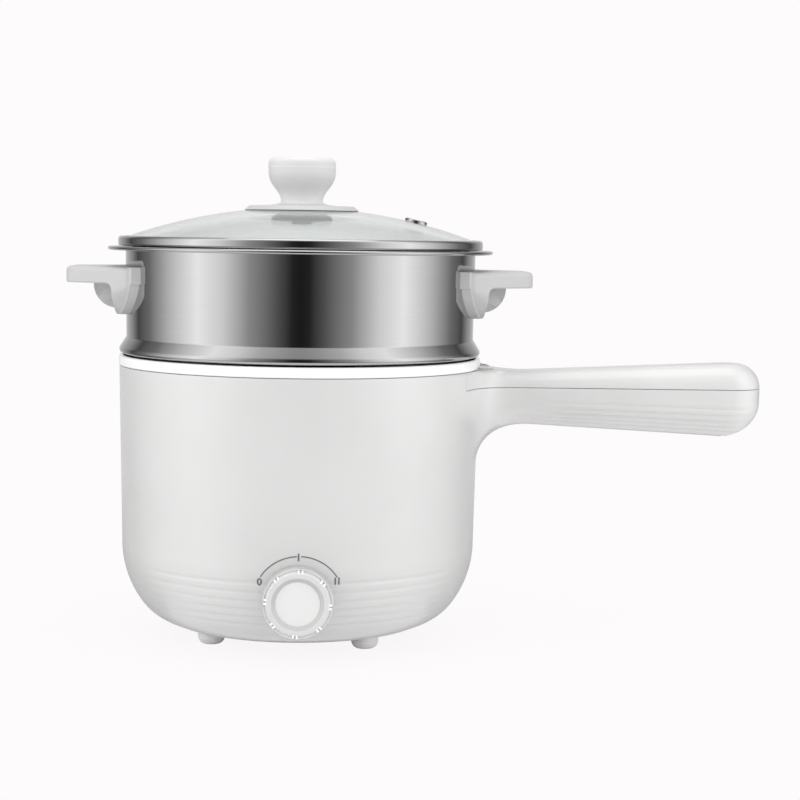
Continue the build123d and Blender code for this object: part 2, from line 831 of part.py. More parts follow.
# Push-in feet, named by where they stand
foot_names = ["foot_front_right", "foot_rear_right", "foot_rear_left", "foot_front_left"]
for index, foot_name in enumerate(foot_names):
    angle = radians(foot_angle + index * 360 / foot_count)
    center = Vector(foot_circle * cos(angle), foot_circle * sin(angle), 0)
    foot_plane = Plane(origin=center, x_dir=(1, 0, 0), z_dir=(0, -1, 0))
    foot_top_z = foot_height - seat_gap
    with BuildPart() as foot:
        with BuildSketch(foot_plane):
            with BuildLine():
                tread = Line((0, 0), (foot_tread_radius, 0))
                belly = TangentArc(tread @ 1, (foot_radius, foot_top_z / 2), tangent=(1, 0))
                Polyline(
                    belly @ 1,
                    (foot_radius, foot_top_z),
                    (foot_stem_radius, foot_top_z),
                    (foot_stem_radius, foot_top_z + foot_stem_length),
                    (0, foot_top_z + foot_stem_length),
                    tread @ 0,
                )
            make_face()
        revolve(axis=Axis(center, (0, 0, 1)))
    save(foot, foot_name)

# Rotary switch behind the boss, with its bush through the boss
switch_face_depth = body_wall + seat_gap + switch_neck_depth
with BuildPart() as rotary_switch:
    with BuildSketch(knob_plane.offset(-body_wall - seat_gap)):
        RectangleRounded(switch_neck_width, switch_neck_width, switch_round)
    extrude(amount=-switch_neck_depth)
    with BuildSketch(knob_plane.offset(-switch_face_depth)):
        RectangleRounded(switch_width, switch_width, switch_round)
    extrude(amount=-switch_depth)
    with BuildSketch(knob_plane.offset(-body_wall - seat_gap)):
        Circle(switch_bush_radius)
    extrude(amount=body_wall + seat_gap + switch_nut_height)
    with BuildSketch(knob_plane.offset(switch_nut_height)):
        Circle(shaft_radius + running_gap)
    extrude(amount=-switch_nut_height - shaft_depth - running_gap, mode=Mode.SUBTRACT)
    with BuildSketch(knob_plane.offset(-switch_face_depth - switch_depth)):
        with GridLocations(2 * tab_spacing, tab_spacing, 2, 2):
            Rectangle(tab_width, tab_thickness)
    extrude(amount=-tab_length)
save(rotary_switch, "rotary_switch")

with BuildPart() as switch_nut:
    with BuildSketch(knob_plane.offset(seat_gap)):
        RegularPolygon(switch_nut_width / 2, 6, major_radius=False)
        Circle(switch_bush_radius + thread_gap, mode=Mode.SUBTRACT)
    extrude(amount=switch_nut_height)
save(switch_nut, "switch_nut")

# Control knob on its shaft
hub_back = switch_nut_height + seat_gap + knob_hub_gap
dish_floor = knob_depth - knob_dish_depth
pocket_floor = dish_floor - knob_cap_thickness - seat_gap
channel_floor = knob_depth - knob_channel_drop
with BuildPart() as control_knob:
    with BuildSketch(knob_section):
        with BuildLine():
            Polyline(
                (knob_radius, part_gap),
                (knob_radius, knob_depth - knob_lip_drop),
                (knob_radius - knob_lip, knob_depth - knob_lip_drop),
                (knob_channel_radius, channel_floor),
                (knob_face_radius, knob_depth - knob_bevel),
                (knob_face_radius - knob_bevel, knob_depth),
                (knob_dish_radius, knob_depth),
                (knob_cap_radius + seat_gap, dish_floor),
                (knob_cap_radius + seat_gap, pocket_floor),
                (0, pocket_floor),
                (0, hub_back),
                (knob_hub_radius, hub_back),
                (knob_hub_radius, pocket_floor - knob_floor),
                (knob_radius - 2 * knob_wall, pocket_floor - knob_floor),
                (knob_radius - knob_wall, part_gap),
                close=True,
            )
        make_face()
    revolve(axis=knob_axis)
    with BuildSketch(knob_plane.offset(hub_back)):
        Circle(shaft_radius + running_gap)
        with Locations((0, shaft_radius + running_gap)):
            Rectangle(2 * knob_radius, 2 * shaft_flat, mode=Mode.SUBTRACT)
    extrude(amount=pocket_floor - knob_floor + knob_floor / 2 - hub_back, mode=Mode.SUBTRACT)
    with BuildSketch(knob_plane.offset(channel_floor)):
        with PolarLocations(knob_face_radius, knob_rib_count, knob_rib_angle):
            with GridLocations(knob_rib_length, knob_rib_pair, 1, 2):
                Rectangle(knob_rib_length, knob_rib_width)
    extrude(amount=knob_channel_drop - knob_rib_drop)
save(control_knob, "control_knob")

with BuildPart() as control_knob_cap:
    with BuildSketch(knob_plane.offset(pocket_floor + seat_gap)):
        Circle(knob_cap_radius)
    extrude(amount=knob_cap_thickness)
    fillet(control_knob_cap.edges().filter_by(GeomType.CIRCLE).sort_by(Axis.Y)[0], knob_cap_round)
save(control_knob_cap, "control_knob_cap")

with BuildPart() as switch_shaft:
    with BuildSketch(knob_plane.offset(-shaft_depth)):
        Circle(shaft_radius)
    extrude(amount=shaft_depth + hub_back)
    with BuildSketch(knob_plane.offset(hub_back)):
        Circle(shaft_radius)
        with Locations((0, shaft_radius)):
            Rectangle(2 * knob_radius, 2 * (shaft_flat + running_gap), mode=Mode.SUBTRACT)
    extrude(amount=pocket_floor - knob_floor - hub_back)
save(switch_shaft, "switch_shaft")

# Bush at the rear where the mains lead leaves
gland_skin_y = skin_radius(gland_z + gland_flange_radius)
gland_plane = Plane(origin=(0, gland_skin_y, gland_z), x_dir=(1, 0, 0), z_dir=(0, 1, 0))
with BuildPart() as cord_gland:
    with BuildSketch(gland_plane.offset(seat_gap)):
        Circle(gland_flange_radius)
    extrude(amount=gland_flange)
    fillet(cord_gland.edges().sort_by(Axis.Y)[-1], gland_flange / 2)
    with BuildSketch(gland_plane.offset(seat_gap)):
        Circle(gland_bore_radius + gland_wall)
    extrude(amount=-body_wall - gland_tail)
    with BuildSketch(gland_plane.offset(2 * gland_flange)):
        Circle(gland_bore_radius)
    extrude(amount=-body_top_radius / 2, mode=Mode.SUBTRACT)
save(cord_gland, "cord_gland")

# Terminal block on the bottom cover
block_foot_z = foot_height + base_thickness
with BuildPart() as terminal_block:
    with BuildSketch(Plane.XY.offset(block_foot_z)):
        with Locations((0, block_y)):
            Rectangle(block_length, block_width)
    extrude(amount=block_height)
    fillet(terminal_block.edges().filter_by(Axis.Z), switch_round)
    with BuildSketch(Plane.XZ.offset(-block_y - block_width)):
        with Locations((0, block_foot_z + block_height / 2)):
            with GridLocations(block_way_pitch, 1, block_way_count, 1):
                Circle(block_way_radius)
    extrude(amount=2 * block_width, mode=Mode.SUBTRACT)
save(terminal_block, "terminal_block")

# Inner leads: terminal block to switch, block to one heater pin and switch to the other pin
block_face_y = block_y - block_width / 2 - seat_gap
block_lead_z = block_foot_z + block_height / 2
tab_end_y = switch_face_depth + switch_depth + tab_length - boss_front + seat_gap
tab_z = knob_axis_z - tab_spacing / 2
pin_x = element_radius * sin(radians(element_opening / 2))
pin_y = element_radius * cos(radians(element_opening / 2))
pin_z = element_z - element_pin_length - seat_gap
lead_routes = [
    [
        (-block_way_pitch, block_face_y, block_lead_z),
        (-block_way_pitch, block_face_y / 2, block_lead_z),
        (-tab_spacing, tab_end_y / 2, tab_z),
        (-tab_spacing, tab_end_y, tab_z),
    ],
    [
        (tab_spacing, tab_end_y, tab_z),
        (tab_spacing, tab_end_y / 2, tab_z),
        (-pin_x, pin_y - lead_drop, pin_z - lead_drop),
        (-pin_x, pin_y, pin_z - lead_drop),
        (-pin_x, pin_y, pin_z),
    ],
    [
        (block_way_pitch, block_face_y, block_lead_z),
        (block_way_pitch, block_face_y - lead_drop, block_lead_z),
        (pin_x, pin_y - lead_drop, pin_z - lead_drop),
        (pin_x, pin_y, pin_z - lead_drop),
        (pin_x, pin_y, pin_z),
    ],
]
with BuildPart() as lead_wires:
    for route in lead_routes:
        with BuildLine() as path:
            FilletPolyline(*route, radius=lead_bend)
        with BuildSketch(Plane(origin=path.line @ 0, z_dir=path.line % 0)):
            Circle(lead_radius)
        sweep(path=path.line)
save(lead_wires, "lead_wires")

# Steamer wall: one bent sheet from the rolled flange to the hem under the skirt
with BuildPart() as steamer_wall:
    with BuildSketch(Plane.XZ):
        with BuildLine():
            sheet_outline(
                [
                    (steamer_flange_radius, steamer_top_z),
                    (steamer_mouth_radius, steamer_top_z),
                    (steamer_low_radius, steamer_base_z + steamer_bead_height),
                    (steamer_bead_radius, steamer_base_z + steamer_sheet),
                    (steamer_bead_radius - steamer_hem, steamer_base_z + steamer_sheet),
                ],
                [steamer_bend, steamer_bead_bend, steamer_sheet],
                steamer_sheet,
            )
        make_face()
    revolve(axis=Axis.Z)
    with Locations((0, 0, steamer_top_z - steamer_roll_radius)):
        Torus(steamer_flange_radius, steamer_roll_radius)
    for around in (0, 180):
        for angle in (around - ear_screw_angle, around + ear_screw_angle):
            direction = Vector(cos(radians(angle)), sin(radians(angle)), 0)
            with BuildSketch(Plane(origin=(0, 0, ear_screw_z), z_dir=direction)):
                Circle(screw_radius + part_gap)
            extrude(amount=ear_seat_radius, mode=Mode.SUBTRACT)
save(steamer_wall, "steamer_wall")

# Skirt that drops into the pot, held by its flange in the wall's hem
with BuildPart() as steamer_skirt:
    with BuildSketch(Plane.XZ):
        with BuildLine():
            sheet_outline(
                [
                    (steamer_bead_radius - steamer_hem / 2, steamer_skirt_z),
                    (steamer_skirt_radius - steamer_sheet, steamer_skirt_z),
                    (steamer_skirt_radius - steamer_sheet, steamer_lip_z),
                ],
                [steamer_bend],
                steamer_sheet,
            )
        make_face()
    revolve(axis=Axis.Z)
save(steamer_skirt, "steamer_skirt")

# Perforated floor with a turned-down rim, welded into the skirt
with BuildPart() as steamer_floor:
    with BuildSketch(Plane.XY.offset(steamer_lip_z + steamer_sheet)):
        Circle(floor_radius)
        Circle(floor_hole_radius, mode=Mode.SUBTRACT)
        for ring in range(1, floor_ring_count + 1):
            with PolarLocations(ring * floor_ring_pitch, ring * floor_ring_holes):
                Circle(floor_hole_radius, mode=Mode.SUBTRACT)
    extrude(amount=floor_sheet)
    with BuildSketch(Plane.XY.offset(steamer_lip_z)):
        Circle(floor_radius)
        Circle(floor_radius - floor_sheet, mode=Mode.SUBTRACT)
    extrude(amount=steamer_sheet)
save(steamer_floor, "steamer_floor")

# Right ear: a flange that hugs the wall, a body and grip with common sides and a rib under them
ear_tip_x = steamer_wall_radius + ear_tip
ear_side = ear_half_width - ear_body_inset
ear_shoulder_x = sqrt(ear_seat_radius**2 - ear_side**2) + ear_shoulder
ear_inner_x = steamer_wall_radius / 2
ear_body_x = steamer_wall_radius + ear_body_reach
ear_foot_z = ear_top_z - ear_foot_drop


def ear_shield(inset, step):
    """Outline of half an ear's shield, drawn in from its edge by an inset and stepped in below the grip."""
    side = ear_half_width - inset
    low = (side - step, ear_under_z)
    foot = (ear_foot_half_width - inset, ear_foot_z)
    ThreePointArc(low, (ear_belly_half_width - inset, ear_under_z - ear_belly_drop), foot)
    Polyline(foot, (0, ear_foot_z), (0, ear_top_z), (side, ear_top_z), (side, ear_under_z))
    if step:
        Line((side, ear_under_z), low)


with BuildPart() as ear_flange:
    with BuildSketch(Plane.YZ.offset(ear_inner_x)):
        with BuildLine():
            ear_shield(0, ear_flange_step)
        make_face()
        mirror(about=Plane.YZ)
    extrude(amount=ear_tip_x)
    Cylinder(steamer_wall_radius + ear_flange_thickness, 4 * ear_top_z, mode=Mode.INTERSECT)
    outer_face = ear_flange.faces().filter_by(GeomType.CYLINDER).sort_by(Axis.X)[-1]
    fillet(outer_face.edges(), ear_flange_round)

with BuildPart() as ear_body:
    with BuildSketch(Plane.XZ) as ear_side_view:
        with BuildLine():
            Polyline(
                (ear_inner_x, ear_foot_z),
                (ear_body_x - ear_body_taper, ear_foot_z),
                (ear_body_x, ear_under_z),
                (ear_tip_x, ear_under_z),
                (ear_tip_x, ear_top_z),
                (ear_inner_x, ear_top_z),
                close=True,
            )
        make_face()
        fillet(ear_side_view.vertices().sort_by_distance((ear_body_x, ear_under_z))[0], ear_body_fillet)
    extrude(amount=ear_half_width, both=True)
    with BuildSketch(Plane.XY) as ear_plan:
        with BuildLine():
            Polyline(
                (ear_inner_x, ear_side),
                (ear_shoulder_x, ear_side),
                (ear_tip_x, ear_tip_half_width),
                (ear_tip_x, -ear_tip_half_width),
                (ear_shoulder_x, -ear_side),
                (ear_inner_x, -ear_side),
                close=True,
            )
        make_face()
        fillet(ear_plan.vertices().group_by(Axis.X)[-1], ear_tip_round)
        fillet(ear_plan.vertices().group_by(Axis.X)[1], ear_shoulder_round)
    extrude(amount=2 * ear_top_z, mode=Mode.INTERSECT)
    with BuildSketch(Plane.YZ.offset(ear_inner_x)):
        with BuildLine():
            ear_shield(ear_body_inset, 0)
        make_face()
        mirror(about=Plane.YZ)
    extrude(amount=ear_tip_x, mode=Mode.INTERSECT)
    fillet(ear_body.faces().sort_by(Axis.Z)[-1].edges().sort_by(Axis.X)[1:], ear_edge_round)
    underside = ear_body.faces().filter_by(Axis.Z).sort_by(Axis.Z)[1]
    fillet(underside.edges().sort_by(Axis.X)[1:], ear_body_round)

with BuildPart() as ear_right:
    add(ear_flange.part)
    add(ear_body.part)
    with BuildSketch(Plane.XZ):
        with BuildLine():
            rib_top = (steamer_wall_radius + ear_rib_reach, ear_under_z)
            rib_belly = (steamer_wall_radius + ear_rib_belly, ear_under_z - ear_rib_belly_drop)
            rib_foot = (ear_body_x - ear_body_taper, ear_under_z - ear_rib_drop)
            ThreePointArc(rib_top, rib_belly, rib_foot)
            Polyline(
                rib_foot,
                (ear_body_x - ear_body_taper, ear_under_z + ear_edge_round),
                (steamer_wall_radius + ear_rib_reach, ear_under_z + ear_edge_round),
                rib_top,
            )
        make_face()
    extrude(amount=ear_rib_half_width, both=True)
    Cylinder(ear_seat_radius, 4 * ear_top_z, mode=Mode.SUBTRACT)
    for angle in (-ear_screw_angle, ear_screw_angle):
        direction = Vector(cos(radians(angle)), sin(radians(angle)), 0)
        pilot_origin = direction * steamer_low_radius + Vector(0, 0, ear_screw_z)
        with BuildSketch(Plane(origin=pilot_origin, z_dir=direction)):
            Circle(screw_radius + thread_gap)
        extrude(amount=ear_seat_radius - steamer_low_radius + ear_screw_bite + part_gap, mode=Mode.SUBTRACT)
save(ear_right, "ear_right")

with BuildPart() as ear_left:
    mirror(ear_right.part, about=Plane.YZ)
save(ear_left, "ear_left")

with BuildPart() as ear_screws:
    for around in (0, 180):
        for angle in (around - ear_screw_angle, around + ear_screw_angle):
            direction = Vector(cos(radians(angle)), sin(radians(angle)), 0)
            seat_radius = steamer_low_radius - seat_gap
            seat = Plane(origin=direction * seat_radius + Vector(0, 0, ear_screw_z), z_dir=direction)
            length = ear_seat_radius + ear_screw_bite - seat_radius
            add(pan_screw(seat, screw_radius, screw_head_radius, screw_head_height, length))
save(ear_screws, "ear_screws")

# Vent in the glass, square to the dome
vent_tilt = degrees(asin(vent_reach / dome_radius))
vent_normal = Vector(sin(radians(vent_tilt)), 0, cos(radians(vent_tilt)))
vent_plane = Plane(
    origin=(vent_reach, 0, dome_z(vent_reach, 0)),
    x_dir=(cos(radians(vent_tilt)), 0, -sin(radians(vent_tilt))),
    z_dir=vent_normal,
)

# Domed glass with a flat ground edge
with BuildPart() as lid_glass:
    with BuildSketch(Plane.XZ):
        with Locations((0, dome_center_z)):
            Circle(dome_radius)
            Circle(dome_radius - glass_thickness, mode=Mode.SUBTRACT)
        with Locations((glass_hole_radius, rim_floor_z + part_gap)):
            Rectangle(
                glass_radius - glass_hole_radius,
                dome_top_z - rim_z,
                align=(Align.MIN, Align.MIN),
                mode=Mode.INTERSECT,
            )
    revolve(axis=Axis.Z)
    with BuildSketch(vent_plane.offset(glass_thickness)):
        Circle(vent_tube_radius + seat_gap)
    extrude(amount=-3 * glass_thickness, mode=Mode.SUBTRACT)
save(lid_glass, "lid_glass")

# Steel band folded round the edge of the glass, with a skirt that centres the lid
with BuildPart() as lid_rim:
    with BuildSketch(Plane.XZ):
        with BuildLine():
            band_radius = rim_radius - rim_sheet
            sheet_outline(
                [
                    (rim_radius - rim_lip, rim_z + rim_height - rim_sheet),
                    (band_radius, rim_z + rim_height - rim_sheet),
                    (band_radius, rim_floor_z),
                    (rim_skirt_radius - rim_sheet, rim_floor_z),
                    (rim_skirt_radius - rim_sheet, rim_z - rim_skirt_depth),
                ],
                [rim_round, rim_round / 2, rim_round],
                rim_sheet,
            )
        make_face()
    revolve(axis=Axis.Z)
save(lid_rim, "lid_rim")

with BuildPart() as vent_grommet:
    with BuildSketch(vent_plane.offset(seat_gap)):
        Circle(vent_flange_radius)
    extrude(amount=vent_flange)
    fillet(vent_grommet.edges().sort_by(Axis(vent_plane.origin, vent_plane.z_dir))[-1], vent_flange / 2)
    with BuildSketch(vent_plane.offset(seat_gap)):
        Circle(vent_tube_radius)
    extrude(amount=-glass_thickness - 2 * seat_gap - vent_flange)
    with BuildSketch(vent_plane.offset(-glass_thickness - seat_gap)):
        Circle(vent_flange_radius - vent_flange)
    extrude(amount=-vent_flange)
    with BuildSketch(vent_plane.offset(2 * glass_thickness)):
        Circle(vent_bore_radius)
    extrude(amount=-4 * glass_thickness, mode=Mode.SUBTRACT)
save(vent_grommet, "vent_grommet")

# Lid knob with its flange, turned as one moulding, and the cap on top of it
flange_top_z = dome_z(lid_knob_flange_radius, 0) + lid_knob_flange_height
seam_z = dome_top_z + lid_knob_seam_rise
with BuildPart() as lid_knob:
    with BuildSketch(Plane.XZ):
        with BuildLine():
            edge = (lid_knob_flange_radius, dome_z(lid_knob_flange_radius, seat_gap))
            middle = (lid_knob_flange_radius / 2, dome_z(lid_knob_flange_radius / 2, seat_gap))
            under = ThreePointArc((0, dome_z(0, seat_gap)), middle, edge)
            shoulder = (lid_knob_flange_radius - lid_knob_bevel, flange_top_z)
            Line(edge, shoulder)
            neck = (lid_knob_neck_radius, dome_top_z + lid_knob_neck_rise)
            Spline(shoulder, neck, tangents=[(-1, lid_knob_flange_slope), (0, 1)])
            waist = (lid_knob_waist_radius, dome_top_z + lid_knob_waist_rise)
            belly = (lid_knob_radius, dome_top_z + lid_knob_belly_rise)
            Spline(neck, waist, belly, tangents=[(0, 1), (0, 1)])
            Polyline(belly, (lid_knob_radius, seam_z), (0, seam_z), under @ 0)
        make_face()
    revolve(axis=Axis.Z)
    with BuildSketch(Plane.XY.offset(seam_z)):
        Circle(lid_knob_spigot_radius + seat_gap)
    extrude(amount=-lid_knob_spigot - seat_gap, mode=Mode.SUBTRACT)
    with BuildSketch(Plane.XY.offset(glass_under_z)):
        Circle(lid_screw_radius + thread_gap)
    extrude(amount=lid_screw_length, mode=Mode.SUBTRACT)
save(lid_knob, "lid_knob")

with BuildPart() as lid_knob_cap:
    with BuildSketch(Plane.XY.offset(seam_z + seat_gap)):
        Circle(lid_knob_radius)
    extrude(amount=lid_knob_rise - lid_knob_seam_rise - seat_gap)
    fillet(lid_knob_cap.edges().filter_by(GeomType.CIRCLE).sort_by(Axis.Z)[-1], lid_knob_cap_round)
    with BuildSketch(Plane.XY.offset(seam_z + seat_gap)):
        Circle(lid_knob_spigot_radius)
    extrude(amount=-lid_knob_spigot)
save(lid_knob_cap, "lid_knob_cap")

# Washer and screw that hold the knob from inside the lid
washer_top_z = dome_z(washer_radius, -glass_thickness) - seat_gap
with BuildPart() as lid_washer:
    with BuildSketch(Plane.XY.offset(washer_top_z)):
        Circle(washer_radius)
        Circle(lid_screw_radius + part_gap, mode=Mode.SUBTRACT)
    extrude(amount=-washer_thickness)
save(lid_washer, "lid_washer")

with BuildPart() as lid_screw:
    screw_seat = Plane.XY.offset(washer_top_z - washer_thickness - seat_gap)
    add(
        pan_screw(
            screw_seat,
            lid_screw_radius,
            lid_screw_head_radius,
            lid_screw_head_height,
            lid_screw_length,
        )
    )
save(lid_screw, "lid_screw")
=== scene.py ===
from math import atan2, cos, hypot, pi, radians, sin, sqrt, tan, tau

import bmesh
import bpy
from bpy.props import FloatProperty, FloatVectorProperty, PointerProperty
from mathutils import Matrix, Vector
from mathutils.geometry import interpolate_bezier
from mathutils.kdtree import KDTree


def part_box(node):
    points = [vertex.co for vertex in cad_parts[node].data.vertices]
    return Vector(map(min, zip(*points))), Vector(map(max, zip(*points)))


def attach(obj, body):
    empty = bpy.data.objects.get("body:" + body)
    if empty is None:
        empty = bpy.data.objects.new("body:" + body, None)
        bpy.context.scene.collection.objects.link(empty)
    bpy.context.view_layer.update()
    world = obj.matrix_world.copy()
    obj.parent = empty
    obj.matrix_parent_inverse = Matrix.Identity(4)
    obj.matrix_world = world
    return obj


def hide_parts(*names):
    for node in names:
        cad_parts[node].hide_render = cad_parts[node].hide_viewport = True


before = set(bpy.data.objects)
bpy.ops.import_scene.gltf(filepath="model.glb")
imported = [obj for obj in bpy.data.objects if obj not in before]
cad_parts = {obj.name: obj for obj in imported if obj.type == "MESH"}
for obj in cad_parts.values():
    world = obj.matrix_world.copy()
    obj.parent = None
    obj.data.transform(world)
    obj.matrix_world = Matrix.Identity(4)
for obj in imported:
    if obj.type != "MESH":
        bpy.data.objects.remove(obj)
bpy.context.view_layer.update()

bl_info = {
    "name": "Multicooker Visual Model",
    "version": (1, 0, 0),
    "blender": (4, 5, 0),
    "location": "View3D > Sidebar > Multicooker",
    "description": "Builds the shaped and finished pieces of a countertop multicooker around its solids",
    "category": "Object",
}

MM = 0.001
NEAR = 1e-7
TURN_STEPS = 160
CORNER_STEPS = 6

# Housing skin, in millimetres and degrees
LOW_ARC = (60.916, 34.0, 27.0)
HIGH_ARC = (40.498, 49.108, 52.4)
CORNER_SPLIT = 53.5
DRAFT = 1.05
BASE_EDGE_RADIUS = 66.516
LEDGE_Z = 10.7
CORNER_TOP_Z = 48.148
CORNER_TOP_RADIUS = 92.889
BODY_TOP_Z = 141.5
BODY_TOP_RADIUS = 94.6
BODY_STEPS = 192
HOUSING_WALL = 2.4
RIPPLES = 6
RIPPLE_FIRST = 8.3
RIPPLE_PITCH = 5.35
RIPPLE_MARGIN = 2.0
RIPPLE_SPREAD = 58.0
RIPPLE_HALF_WIDTH = 1.75

# Handle, in millimetres and degrees
ROOT_COLUMNS = 12
ROOT_HALF_ANGLE = radians(360 / BODY_STEPS * ROOT_COLUMNS)
ROOT_ROWS = 20
ROOT_STEPS = 12
ROOT_FOOT_Z = 92.0
ROOT_PULL = 0.58
NECK_PULL = 0.6
NECK_X = 120.0
GRIP_X = 227.2
GRIP_STEPS = 36
END_STEPS = 48
GROOVED_PLACES = 65
NECK = {"half_width": 15.5, "bottom": 111.9, "top": 140.6, "low_round": 14.0, "high_round": 11.0}
GRIP = {"half_width": 18.3, "bottom": 106.1, "top": 145.4, "low_round": 16.8, "high_round": 13.0}
PARTING_Z = 132.0
UNDER_PARTING_Z = 120.0
COVER_HALF_WIDTH = 41.5
COVER_START_X = 75.0
ROOT_HALF_WIDTH = 47.0
GROOVES = 5
GROOVE_FIRST = 4.0
GROOVE_PITCH = 12.6
GROOVE_HALF_WIDTH = 1.35
GROOVE_START_X = 123.0
GROOVE_END_X = 241.0
GROOVE_RISE = 14.0
GROOVE_FALL = 18.0
GROOVE_INSET = 1.5
END_ROUND = 25.2
END_CENTRE = (220.6, 131.3)

# Control knob, dial, feet, lid and steamer, in millimetres and degrees
KNOB_FRONT_Y = -93.142
KNOB_AXIS_Z = 33.4
KNOB_SEAT = Matrix.Translation((0, KNOB_FRONT_Y * MM, KNOB_AXIS_Z * MM)) @ Matrix.Rotation(pi / 2, 4, "X")
KNOB_RIB_PAIRS = 8
KNOB_RIB_START = -4.5
KNOB_RIB_SIZE = Vector((1.9, 0.9, 3.4))
DIAL_ARCS = [(-58.4, -2.8), (2.8, 58.4)]
DIAL_RADII = (21.6, 22.2)
DIAL_SHIFT = 0.4
DIAL_FIGURES = [("0", -18.7, 42.2), ("I", 0.2, 54.7), ("II", 19.0, 42.7)]
PRINT_HEIGHT = 0.06
PRINT_STEP = 0.4
PRINT_LEVELS = (-10, 60)
FOOT_CIRCLE = 56.016
GLAND_Y = 93.006
GLAND_Z = 46.0
DOME_CENTRE_Z = -37.6
DOME_RADIUS = 262.0
GLASS_EDGE = 94.5
GLASS_FOOT_Z = 204.3
GLASS_THICKNESS = 3.6
GLASS_HOLE = 4.2
VENT_X = 60.0
FLANGE_RADIUS = 99.7
SHEET_STEPS = 192
STEAMER_SHEET = 0.8
POT_SHEET = 1.2
BAND_SHEET = 0.6

# Cards that the steel mirrors: brightness from front to back, and brightness and share from foot to ceiling
CARD_RADIUS, CARD_FOOT, CARD_TOP = 2000.0, -1500.0, 4500.0
CARDS_AROUND = [
    (0.0, 0.02), (0.03, 0.03), (0.08, 0.14), (0.18, 0.46), (0.23, 0.8), (0.28, 1.15), (0.38, 1.55),
    (0.50, 0.92), (0.56, 0.58), (0.63, 0.26), (0.72, 0.1), (0.79, 0.4), (0.88, 0.6), (1.0, 0.9)]
CARDS_UPWARD = [
    (0.0, 0.25, 0.5), (0.2, 0.12, 0.45), (0.217, 0.12, 0.0), (0.45, 1.1, 0.0), (0.7, 1.1, 0.4),
    (0.98, 1.1, 0.5), (1.0, 1.9, 1.0)]

# What all bevels share
BEVEL = {"offset_type": "OFFSET", "profile": 0.5, "material": -1}


def length_property(name, description, default, low, high):
    """A length that a user may change."""
    return FloatProperty(name=name, description=description, default=default, min=low, max=high, unit="LENGTH")


def colour_property(name, description, *levels):
    """An opaque colour that a user may change."""
    return FloatVectorProperty(
        name=name, description=description, default=(*levels, 1.0), subtype="COLOR", size=4, min=0.0, max=1.0)


class CookerSizes(bpy.types.PropertyGroup):
    """Sizes of the fine forms that a user may change."""

    ripple_depth: length_property(
        "Ripple Depth", "Depth of the ripples at the front of the housing", 0.0006, 0.0, 0.0015)
    groove_depth: length_property("Groove Depth", "Depth of the grooves along the handle", 0.0006, 0.0, 0.0012)
    parting_gap: length_property(
        "Parting Gap", "Open joint between the housing and the handle cover", 0.0003, 0.0001, 0.001)
    edge_round: length_property("Edge Round", "Rounding of the moulded edges along the joint", 0.00025, 0.00005, 0.0005)
    mark_height: length_property("Mark Height", "Height of the figures beside the control knob", 0.0036, 0.002, 0.008)


class CookerColours(bpy.types.PropertyGroup):
    """Colours of the finishes."""

    housing: colour_property("Housing", "Satin white of the housing and handle", 0.61, 0.61, 0.606)
    ring: colour_property("Rim Ring", "Gloss white of the rim ring", 0.84, 0.84, 0.84)
    grips: colour_property("Ears", "Matt light grey of the steamer's ears", 0.48, 0.48, 0.48)
    lid_knob: colour_property("Lid Knob", "Pale grey of the lid's knob", 0.66, 0.66, 0.66)
    dial_knob: colour_property("Control Knob", "Satin white of the control knob", 0.62, 0.62, 0.617)
    marks: colour_property("Dial Marks", "Grey print beside the control knob", 0.15, 0.15, 0.155)
    steel: colour_property("Polished Steel", "Steel of the steamer and the lid's band", 0.50, 0.50, 0.50)
    glass: colour_property("Lid Glass", "Tint of the clear lid", 0.93, 0.965, 0.955)


class StageSettings(bpy.types.PropertyGroup):
    """Camera and light of the studio."""

    lens: FloatProperty(
        name="Lens", description="Focal length of the camera in millimetres", default=84.915, min=20.0, max=200.0)
    camera_place: FloatVectorProperty(
        name="Camera Place", description="Where the camera stands",
        subtype="TRANSLATION", size=3, default=(0.0, -0.997, 0.213), unit="LENGTH")
    camera_yaw: FloatProperty(
        name="Yaw", description="Turn of the camera towards the handle", default=radians(3.05), subtype="ANGLE")
    camera_pitch: FloatProperty(
        name="Pitch", description="Tilt of the camera down from level", default=radians(5.116), subtype="ANGLE")
    camera_roll: FloatProperty(
        name="Roll", description="Lean of the camera's top to the left", default=radians(0.882), subtype="ANGLE")
    background: FloatVectorProperty(
        name="Background", description="White of the floor and backdrop",
        subtype="COLOR", size=3, default=(0.983, 0.965, 0.974), min=0.0, max=1.0)


def sizes():
    """The sizes group of the scene."""
    return bpy.context.scene.cooker_sizes


# Mesh helpers


def round_corner(bm, vert, radius, segments=CORNER_STEPS):
    """Round one corner of a wire to a radius in metres."""
    arms = [edge.other_vert(vert).co - vert.co for edge in vert.link_edges]
    bend = pi - arms[0].angle(arms[1])
    bmesh.ops.bevel(bm, geom=[vert], offset=radius * tan(bend / 2), segments=segments, affect="VERTICES", **BEVEL)


def wire(bm, points, closed=False):
    """Draw a wire through (radius, height) points in millimetres; a third number rounds that corner."""
    verts = [bm.verts.new((point[0] * MM, 0.0, point[1] * MM)) for point in points]
    ends = verts[1:] + verts[:1] if closed else verts[1:]
    for pair in zip(verts, ends):
        bm.edges.new(pair)
    for point, vert in zip(points, verts):
        if len(point) > 2:
            round_corner(bm, vert, point[2] * MM)
    return verts


def arc(bm, start, centre, angle, steps):
    """Draw an arc in the XZ plane from a vertex about a centre in millimetres and return its last vertex."""
    made = bmesh.ops.spin(
        bm, geom=[start], cent=(centre[0] * MM, 0.0, centre[1] * MM), axis=(0, 1, 0), angle=angle, steps=steps)
    return next(item for item in made["geom_last"] if isinstance(item, bmesh.types.BMVert))


def divide(edge, start, count):
    """Divide an edge from one of its ends into a count of equal lengths."""
    for left in range(count, 1, -1):
        start = bmesh.utils.edge_split(edge, start, 1 / left)[1]


